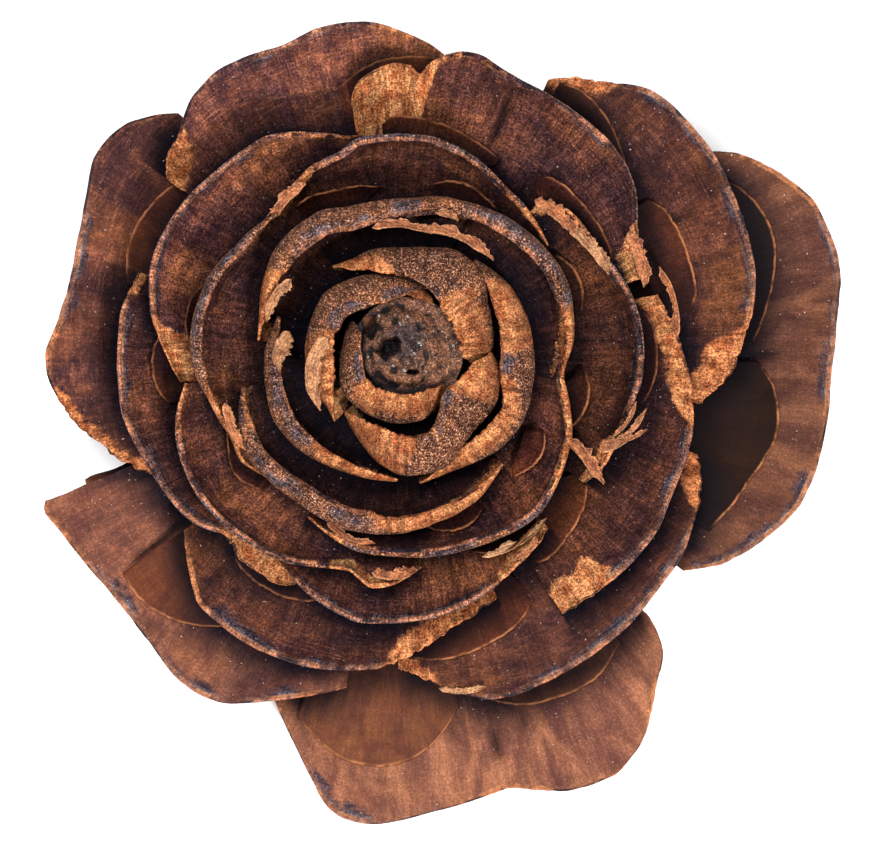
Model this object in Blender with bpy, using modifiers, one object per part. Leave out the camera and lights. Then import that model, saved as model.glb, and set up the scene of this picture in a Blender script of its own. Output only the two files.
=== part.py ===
"""Shed top of a cedar cone, which opens like a wooden rose.

A short woody axis carries a spiral of thin fan-shaped seed scales. The low ones lie open like
saucers, the middle ones stand up, and the last ones close over the tip as a bud. Papery wings of
the seeds lie in pairs on the upper faces of the open scales.

The origin is the middle of the axis's broken foot, which stands flat on the ground, with +Z along
the axis. Angles are in degrees, counter-clockwise from +X as seen from above. Lengths are in metres.
"""

import math
from collections import namedtuple

import bmesh
import bpy
from mathutils import Vector

MM = 0.001

# Woody axis, from its broken foot to the knob at its tip
FOOT_RADIUS = 7.0 * MM
FOOT_HEIGHT = 1.6 * MM
AXIS_LOW_RADIUS = 5.2 * MM
AXIS_TOP_RADIUS = 2.7 * MM
NECK_HEIGHT = 30.5 * MM
KNOB_RADIUS = 4.2 * MM
KNOB_HEIGHT = 35.2 * MM
KNOB_TOP_RADIUS = 2.6 * MM
CONE_HEIGHT = 37.6 * MM
KNOB_DIMPLE = 0.9 * MM
AXIS_SIDES = 20
MERGE_DISTANCE = 0.01 * MM
SHARP_EDGE_ANGLE = 35.0

# Spiral of scales: a scale's order counts up from the lowest whole one
ROOT_RADIUS = 2.0 * MM
FIRST_ROOT_HEIGHT = 4.4 * MM
ROOT_STEP = 0.76 * MM
LOW_RIM_HEIGHT = 7.2 * MM
TOP_RIM_HEIGHT = 38.0 * MM
LAST_ORDER = 31.0
RIM_HEIGHT_POWER = 1.25

# A scale's profile is part of an ellipse: the angle that it turns through grows with the order,
# and past 90 degrees its free margin leans in over the tip
OPEN_TURN = 38.0
TURN_STEP = 3.3
CLOSING_ORDER = 15.0
CLOSING_GAIN = 0.16
MARGIN_TURN_AT_SIDES = 96.0

# Breadth, thickness and form of every scale
STALK_BREADTH = 0.5
STALK_END = 0.45
SHOULDER_DROP = 0.22
ROOT_THICKNESS = 1.5 * MM
RIM_THICKNESS = 1.05 * MM
BUD_THICKNESS = 1.0 * MM
BUD_ORDER = 22
WAVE_HEIGHT = 0.9 * MM
WAVE_COUNT = 2.5
WAVE_FADE_ORDER = 14.0
SCALE_COLUMNS = 11
SCALE_ROWS = 5
BUD_ROWS = 6

# Seed wings, which lie just clear of the scale below them
WING_THICKNESS = 0.7 * MM
WING_GAP = 0.45 * MM
WING_GAP_STEP = 0.012 * MM
WING_INNER_END = 0.5
WING_TIP_ROUNDING = 0.16
WING_ROOT_BREADTH = 0.55
WING_FULL_BREADTH_END = 0.7
WING_COLUMNS = 4
WING_ROWS = 4
TIP_SEARCH_STEPS = 16

# azimuth: middle of the scale. half: half its spread, in degrees. rim: its outermost radius in
# millimetres, at seven even steps from the clockwise end of the spread to the other.
Scale = namedtuple("Scale", "order azimuth half rim")

SCALES = [
    Scale(-2, 213.5, 12.0, (38.4, 38.9, 38.7, 38.0, 37.2, 36.0, 34.0)),
    Scale(0, 281.0, 32.0, (42.0, 51.4, 53.1, 50.7, 52.4, 50.6, 41.2)),
    Scale(2, 357.5, 35.5, (39.7, 45.8, 48.1, 48.0, 49.8, 48.4, 41.5)),
    Scale(3, 231.5, 29.0, (44.2, 42.8, 42.3, 43.3, 44.6, 41.8, 38.0)),
    Scale(5, 305.0, 36.0, (35.3, 39.5, 40.6, 40.2, 39.2, 37.7, 34.9)),
    Scale(6, 169.5, 36.5, (36.5, 40.8, 38.8, 38.0, 39.9, 37.6, 31.6)),
    Scale(7, 26.0, 36.0, (33.9, 38.0, 40.4, 41.0, 41.0, 38.6, 34.0)),
    Scale(8, 255.0, 36.0, (31.4, 36.2, 36.9, 36.5, 35.0, 31.9, 29.7)),
    Scale(9, 113.0, 31.0, (33.3, 36.1, 37.8, 36.7, 37.4, 36.0, 32.8)),
    Scale(10, 337.0, 36.0, (34.2, 34.3, 34.3, 33.8, 32.8, 31.5, 29.0)),
    Scale(11, 204.5, 41.5, (30.8, 31.8, 31.8, 31.3, 30.0, 29.3, 28.6)),
    Scale(12, 59.5, 42.5, (28.0, 31.2, 32.7, 32.7, 33.8, 31.3, 28.3)),
    Scale(13, 274.0, 36.0, (26.7, 28.9, 30.1, 29.7, 28.7, 27.3, 25.4)),
    Scale(14, 144.0, 44.0, (24.4, 26.6, 28.4, 29.2, 29.5, 27.7, 24.9)),
    Scale(15, 6.0, 42.0, (24.9, 25.2, 26.4, 26.3, 25.0, 24.0, 21.8)),
    Scale(16, 231.5, 43.5, (24.3, 26.7, 27.4, 26.9, 25.6, 24.4, 23.6)),
    Scale(17, 87.0, 51.0, (19.9, 20.7, 22.6, 23.7, 23.6, 22.1, 21.1)),
    Scale(18, 302.0, 62.0, (21.1, 22.2, 22.4, 23.0, 21.6, 18.9, 17.9)),
    Scale(19, 177.5, 45.5, (20.6, 21.3, 22.5, 22.9, 21.9, 21.1, 20.5)),
    Scale(20, 42.0, 52.0, (17.7, 18.5, 18.9, 18.4, 17.6, 16.8, 16.3)),
    Scale(21, 252.0, 60.0, (18.1, 19.8, 19.6, 19.8, 19.0, 17.7, 16.5)),
    Scale(22, 120.0, 56.0, (16.6, 16.4, 16.3, 17.1, 17.4, 16.2, 15.8)),
    Scale(23, 344.5, 67.5, (15.1, 14.3, 15.0, 14.7, 14.0, 13.5, 13.2)),
    Scale(24, 216.0, 52.0, (15.6, 15.2, 15.8, 15.9, 15.0, 14.5, 14.5)),
    Scale(25, 68.0, 62.0, (10.3, 10.8, 12.3, 12.3, 11.6, 11.6, 12.4)),
    Scale(26, 293.0, 67.0, (10.0, 11.2, 12.9, 13.2, 12.0, 11.7, 10.5)),
    Scale(27, 165.0, 61.0, (8.9, 10.2, 10.7, 10.6, 10.7, 10.6, 10.4)),
    Scale(28, 16.0, 70.0, (6.4, 6.2, 6.2, 6.2, 6.3, 6.9, 7.6)),
    Scale(29, 232.0, 84.0, (6.7, 6.9, 7.8, 7.8, 7.8, 7.6, 6.3)),
]

# Where the free margin of a closed scale ends, as a share of its outermost radius
CLOSED_MARGINS = {23: 0.76, 24: 0.87, 25: 0.54, 26: 0.66, 27: 0.66, 28: 0.74, 29: 0.6}

# order: the scale that the wing lies on. azimuth, half: its middle and half its spread, in degrees.
# tip: the radius of its outer end. stand: how far that end leans away from the scale. Both in
# millimetres.
Wing = namedtuple("Wing", "order name azimuth half tip stand")

WINGS = [
    Wing(0, "clockwise", 266.5, 12.5, 46.7, 0.0),
    Wing(0, "counter", 295.0, 12.0, 42.8, 0.0),
    Wing(2, "clockwise", 344.0, 14.5, 42.9, 0.0),
    Wing(2, "counter", 374.5, 13.5, 43.7, 0.0),
    Wing(3, "counter", 229.0, 10.5, 40.4, 0.0),
    Wing(5, "clockwise", 283.5, 13.5, 34.6, 0.0),
    Wing(6, "clockwise", 151.5, 15.0, 33.0, 0.0),
    Wing(7, "clockwise", 20.0, 12.0, 33.6, 0.0),
    Wing(7, "counter", 49.0, 11.0, 35.2, 0.0),
    Wing(8, "clockwise", 241.0, 11.0, 30.6, 0.0),
    Wing(9, "clockwise", 92.5, 11.5, 33.0, 0.0),
    Wing(10, "clockwise", 314.0, 12.0, 28.2, 0.5),
    Wing(10, "counter", 359.0, 11.0, 28.3, 0.5),
    Wing(11, "clockwise", 183.5, 9.0, 28.0, 0.5),
    Wing(12, "clockwise", 37.5, 14.5, 26.0, 0.5),
    Wing(12, "counter", 79.5, 16.0, 26.3, 0.5),
    Wing(13, "counter", 299.0, 9.5, 25.0, 1.0),
    Wing(14, "counter", 170.0, 10.0, 24.4, 1.5),
    Wing(15, "clockwise", -15.5, 10.0, 21.3, 0.6),
    Wing(15, "counter", 22.5, 10.0, 21.2, 0.5),
    Wing(16, "clockwise", 213.5, 11.5, 23.4, 0.8),
    Wing(17, "clockwise", 68.0, 12.5, 20.2, 0.4),
    Wing(17, "counter", 112.0, 15.0, 20.0, 0.8),
    Wing(18, "clockwise", 287.0, 10.0, 20.6, 0.3),
    Wing(18, "counter", 322.0, 10.0, 19.2, 0.6),
]

BARK_BROWN = (0.165, 0.062, 0.033, 1.0)
WING_TAN = (0.235, 0.105, 0.052, 1.0)


def clear_scene():
    for old in list(bpy.data.objects):
        bpy.data.objects.remove(old, do_unlink=True)


def make_collection(name):
    collection = bpy.data.collections.new(name)
    bpy.context.scene.collection.children.link(collection)
    return collection


def make_material(name, colour, roughness):
    material = bpy.data.materials.new(name)
    material.use_nodes = True
    shader = material.node_tree.nodes["Principled BSDF"]
    shader.inputs["Base Color"].default_value = colour
    shader.inputs["Roughness"].default_value = roughness
    shader.inputs["Metallic"].default_value = 0.0
    return material


def smooth_step(value):
    """Ease from 0 to 1 as value goes from 0 to 1."""
    value = min(max(value, 0.0), 1.0)
    return value * value * (3.0 - 2.0 * value)


def rim_radius(scale, u):
    """Outermost radius at u, on a smooth curve through the seven rim radii."""
    steps = len(scale.rim) - 1
    place = (min(max(u, -1.0), 1.0) + 1.0) / 2.0 * steps
    left = min(int(place), steps - 1)
    t = place - left
    before = scale.rim[max(left - 1, 0)]
    start = scale.rim[left]
    end = scale.rim[left + 1]
    after = scale.rim[min(left + 2, steps)]
    bend = 2.0 * before - 5.0 * start + 4.0 * end - after
    twist = 3.0 * start - before - 3.0 * end + after
    return (start + 0.5 * t * ((end - before) + t * (bend + t * twist))) * MM


def root_height(scale):
    return FIRST_ROOT_HEIGHT + ROOT_STEP * scale.order


def rim_height(scale):
    share = 1.0 - (1.0 - max(scale.order, 0) / LAST_ORDER) ** RIM_HEIGHT_POWER
    return LOW_RIM_HEIGHT + (TOP_RIM_HEIGHT - LOW_RIM_HEIGHT) * share


def full_turn(scale):
    """Angle that the profile turns through at the middle of the scale."""
    if scale.order in CLOSED_MARGINS:
        return 180.0 - math.degrees(math.asin(CLOSED_MARGINS[scale.order]))
    closing = max(scale.order - CLOSING_ORDER, 0.0)
    return OPEN_TURN + TURN_STEP * scale.order + CLOSING_GAIN * closing ** 2


def scale_point(scale, u, v):
    """Point of the scale's middle surface: u from side to side (-1 to 1), v from root to rim."""
    breadth = STALK_BREADTH + (1.0 - STALK_BREADTH) * smooth_step(v / STALK_END)
    azimuth = math.radians(scale.azimuth + scale.half * u * breadth)
    middle_turn = full_turn(scale)
    turn = middle_turn
    if middle_turn > MARGIN_TURN_AT_SIDES:
        turn = middle_turn - (middle_turn - MARGIN_TURN_AT_SIDES) * u * u
    angle = math.radians(turn) * v
    widest = math.sin(math.radians(min(middle_turn, 90.0)))
    out = math.sin(angle) / widest
    up = (1.0 - math.cos(angle)) / (1.0 - math.cos(math.radians(middle_turn)))
    radius = ROOT_RADIUS + (rim_radius(scale, u) - ROOT_RADIUS) * out
    rise = rim_height(scale) - root_height(scale)
    height = root_height(scale) + rise * up * (1.0 - SHOULDER_DROP * abs(u) ** 3)
    openness = max(1.0 - scale.order / WAVE_FADE_ORDER, 0.0)
    wave = math.sin(math.pi * WAVE_COUNT * u + scale.order)
    height += WAVE_HEIGHT * openness * wave * v ** 3
    return Vector((radius * math.cos(azimuth), radius * math.sin(azimuth), height))


def scale_normal(scale, u, v):
    """Unit normal of the middle surface, towards the scale's upper face."""
    step = 0.01
    across = scale_point(scale, u + step, v) - scale_point(scale, u - step, v)
    along = scale_point(scale, u, v + step) - scale_point(scale, u, v - step)
    return along.cross(across).normalized()


def scale_thickness(scale, v):
    if scale.order >= BUD_ORDER:
        return BUD_THICKNESS
    return ROOT_THICKNESS + (RIM_THICKNESS - ROOT_THICKNESS) * v


def sheet(name, columns, rows, place, thickness):
    """Closed body of a bent sheet.

    place(a, b) gives a point of its middle surface, and thickness(b) how thick it is there, for
    a and b from 0 to 1.
    """
    mesh = bpy.data.meshes.new(name)
    shape = bmesh.new()
    bmesh.ops.create_grid(shape, x_segments=columns, y_segments=rows, size=0.5)
    thickest = max(thickness(0.0), thickness(1.0))
    layer = shape.verts.layers.deform.verify()
    for vertex in shape.verts:
        a = vertex.co.x + 0.5
        b = vertex.co.y + 0.5
        vertex[layer][0] = thickness(b) / thickest
        vertex.co = place(a, b)
    bmesh.ops.triangulate(shape, faces=shape.faces)
    shape.to_mesh(mesh)
    shape.free()
    item = bpy.data.objects.new(name, mesh)
    item.vertex_groups.new(name="thickness")
    shell = item.modifiers.new("Solidify", "SOLIDIFY")
    shell.thickness = thickest
    shell.offset = 0.0
    shell.vertex_group = "thickness"
    return item


def make_scale(scale):
    rows = BUD_ROWS if scale.order >= BUD_ORDER else SCALE_ROWS

    def place(a, b):
        return scale_point(scale, 2.0 * a - 1.0, b)

    def thickness(b):
        return scale_thickness(scale, b)

    return sheet("scale_{:02d}".format(scale.order), SCALE_COLUMNS, rows, place, thickness)


def wing_point(wing, scale, a, b):
    """Point of the wing's middle surface, for a across it and b from its inner to its outer end."""
    breadth = WING_ROOT_BREADTH + (1.0 - WING_ROOT_BREADTH) * smooth_step(b / WING_FULL_BREADTH_END)
    u = (wing.azimuth + (2.0 * a - 1.0) * wing.half * breadth - scale.azimuth) / scale.half
    clear = WING_GAP + WING_GAP_STEP * scale.order + WING_THICKNESS / 2.0

    def lifted(v, stand):
        lift = scale_thickness(scale, v) / 2.0 + clear + stand * MM
        return scale_point(scale, u, v) + scale_normal(scale, u, v) * lift

    tip = wing.tip * MM * (1.0 - WING_TIP_ROUNDING * (2.0 * a - 1.0) ** 4)
    low = WING_INNER_END
    high = 1.0
    for _ in range(TIP_SEARCH_STEPS):
        middle = (low + high) / 2.0
        if lifted(middle, wing.stand).xy.length < tip:
            low = middle
        else:
            high = middle
    v = WING_INNER_END + (low - WING_INNER_END) * b
    return lifted(v, wing.stand * b * b)


def make_wing(wing, scale):
    def place(a, b):
        return wing_point(wing, scale, a, b)

    def thickness(b):
        return WING_THICKNESS

    name = "seed_wing_{:02d}_{}".format(wing.order, wing.name)
    return sheet(name, WING_COLUMNS, WING_ROWS, place, thickness)


def make_axis():
    """Turned axis, from its flat foot to the dimpled knob at its tip."""
    outline = [
        (0.0, CONE_HEIGHT - KNOB_DIMPLE),
        (KNOB_TOP_RADIUS, CONE_HEIGHT),
        (KNOB_RADIUS, KNOB_HEIGHT),
        (AXIS_TOP_RADIUS, NECK_HEIGHT),
        (AXIS_LOW_RADIUS, FIRST_ROOT_HEIGHT),
        (FOOT_RADIUS, FOOT_HEIGHT),
        (FOOT_RADIUS, 0.0),
        (0.0, 0.0),
    ]
    mesh = bpy.data.meshes.new("cone")
    points = [(radius, 0.0, height) for radius, height in outline]
    edges = [(index, index + 1) for index in range(len(points) - 1)]
    mesh.from_pydata(points, edges, [])
    axis = bpy.data.objects.new("cone", mesh)
    turn = axis.modifiers.new("Screw", "SCREW")
    turn.steps = AXIS_SIDES
    turn.render_steps = AXIS_SIDES
    turn.use_merge_vertices = True
    turn.merge_threshold = MERGE_DISTANCE
    return axis


def apply_modifiers(item):
    """Swap the object's mesh for its evaluated one, and drop the modifiers."""
    graph = bpy.context.evaluated_depsgraph_get()
    mesh = bpy.data.meshes.new_from_object(item.evaluated_get(graph))
    old = item.data
    item.modifiers.clear()
    item.data = mesh
    bpy.data.meshes.remove(old)


def make_cone(collection):
    """Axis and scales, joined as they grew, in one body."""
    axis = make_axis()
    collection.objects.link(axis)
    grown = make_collection("scales to join")
    for scale in SCALES:
        grown.objects.link(make_scale(scale))
    join = axis.modifiers.new("Join", "BOOLEAN")
    join.operation = "UNION"
    join.operand_type = "COLLECTION"
    join.collection = grown
    join.solver = "EXACT"
    apply_modifiers(axis)
    for item in list(grown.objects):
        bpy.data.objects.remove(item, do_unlink=True)
    bpy.data.collections.remove(grown)
    return axis


def main():
    clear_scene()
    collection = make_collection("cedar_cone_rose")
    bark = make_material("bark_brown", BARK_BROWN, 0.72)
    papery = make_material("papery_wing", WING_TAN, 0.55)
    cone = make_cone(collection)
    cone.data.materials.clear()
    cone.data.materials.append(bark)
    cone.data.shade_smooth()
    cone.data.set_sharp_from_angle(angle=math.radians(SHARP_EDGE_ANGLE))
    by_order = {scale.order: scale for scale in SCALES}
    for wing in WINGS:
        item = make_wing(wing, by_order[wing.order])
        item.data.materials.append(papery)
        collection.objects.link(item)


main()
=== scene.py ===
"""Looks of the cedar cone rose: every scale, seed wing, torn peel and drop of resin.

Lengths are in millimetres up to the last step, which turns them into metres. Angles are in degrees,
counter-clockwise from +X as seen from above, and may run past 360 so that an outline stays in order.
"""

import math
from collections import namedtuple

import bpy
import numpy as np
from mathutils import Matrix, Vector


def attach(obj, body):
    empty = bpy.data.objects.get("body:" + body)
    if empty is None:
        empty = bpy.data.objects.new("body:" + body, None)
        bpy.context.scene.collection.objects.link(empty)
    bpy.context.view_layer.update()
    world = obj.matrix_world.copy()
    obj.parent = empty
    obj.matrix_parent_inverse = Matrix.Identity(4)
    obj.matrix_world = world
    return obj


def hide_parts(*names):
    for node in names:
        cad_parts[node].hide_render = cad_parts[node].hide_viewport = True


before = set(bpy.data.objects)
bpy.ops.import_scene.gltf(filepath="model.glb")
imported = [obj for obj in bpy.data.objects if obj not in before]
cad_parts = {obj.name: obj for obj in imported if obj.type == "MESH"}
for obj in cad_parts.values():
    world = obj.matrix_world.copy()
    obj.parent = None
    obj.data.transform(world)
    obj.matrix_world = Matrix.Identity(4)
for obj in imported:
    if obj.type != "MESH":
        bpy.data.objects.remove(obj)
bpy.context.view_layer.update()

MM = 0.001

# Form of the scales, as in the solid model
ROOT_RADIUS = 2.0
FIRST_ROOT_HEIGHT = 4.4
ROOT_STEP = 0.76
LOW_RIM_HEIGHT = 7.2
TOP_RIM_HEIGHT = 38.0
LAST_ORDER = 31.0
RIM_HEIGHT_POWER = 1.25
OPEN_TURN = 38.0
TURN_STEP = 3.3
CLOSING_ORDER = 15.0
CLOSING_GAIN = 0.16
MARGIN_TURN_AT_SIDES = 96.0
STALK_BREADTH = 0.5
STALK_END = 0.45
SHOULDER_DROP = 0.22
WAVE_HEIGHT = 0.9
WAVE_COUNT = 2.5
WAVE_FADE_ORDER = 14.0
BUD_ORDER = 22

# Form that only the looks have. The rim's thickness goes from one of these orders to the next.
ROOT_THICKNESS = 1.5
RIM_ORDERS = [0, 14, 17, 19, 20, 22, 24, 29]
RIM_THICKNESSES = [0.5, 0.6, 0.8, 1.0, 1.6, 1.6, 1.0, 0.8]
OUTLINE_BLUR = 0.8
BUD_OUTLINE_BLUR = 1.6
# The crest of a bud scale's rim lies this far inside the outer face that its outline follows
BULGE_INSET = 0.45
EDGE_RADIUS = 0.32
# The grids have finer steps over this distance from their edges
FINE_EDGE = 0.9
CREASE_BREADTH = 0.5
CREASE_DEPTH = 0.35
# Nothing rises to the solid's full height of 37.6
PEEL_CEILING = 37.25
TIP_CEILING = 37.45

# Masks. The edge mask grows from 0 to 1 over RIM_REACH. From FELTED_ORDER on, the rims are rough skin.
RIM_REACH = 4.0
FELTED_ORDER = 19
BARE_FADE = 3.0
LIP_BARE_FADE = 8.0
GREY_FADE = 4.0
# How far out past the scales above the painted shade of the clefts reaches, by order
CLEFT_SHADE_ORDERS = [0, 8, 14, 18, 20, 24]
CLEFT_SHADE_REACHES = [6.5, 5.0, 3.4, 3.6, 6.5, 6.5]

# How light each scale's face is beside the others, by order, and the inner scales of the bud: partly each
# scale's own tone and partly painted shade, darkest on the deep scales of the bud
SHADES = {-2: 0.6, 0: 1.0, 2: 0.56, 3: 1.05, 5: 0.64, 6: 0.85, 7: 0.58, 8: 0.62, 9: 1.2, 10: 0.56, 11: 0.72,
          12: 0.8, 13: 0.85, 14: 1.2, 15: 0.4, 16: 0.9, 17: 0.5, 18: 0.95, 19: 0.75, 20: 0.4, 21: 0.35,
          22: 0.3, 24: 0.2}
BUD_SHADE = 0.25
# How light the wings are beside their scale, and those of the scales named by their order, partly their own
# colour and partly a painted shadow from the rims above them
WING_SHADE = 0.85
DARK_WINGS = {0: 0.7, 2: 0.14, 3: 0.6, 7: 0.6}

# order: place in the spiral. rim: (azimuth, radius) along the free edge as seen from above.
# margin: the same for the lip of a scale that closes over the tip, or empty.
# bare: (from, to, depth) where the skin is torn off and the orange wood shows, depth from the edge.
# grey: (from, to) where the edge is weathered. creases: (azimuth, from radius, to radius).
Scale = namedtuple("Scale", "order rim margin bare grey creases", defaults=[(), (), (), ()])

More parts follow.
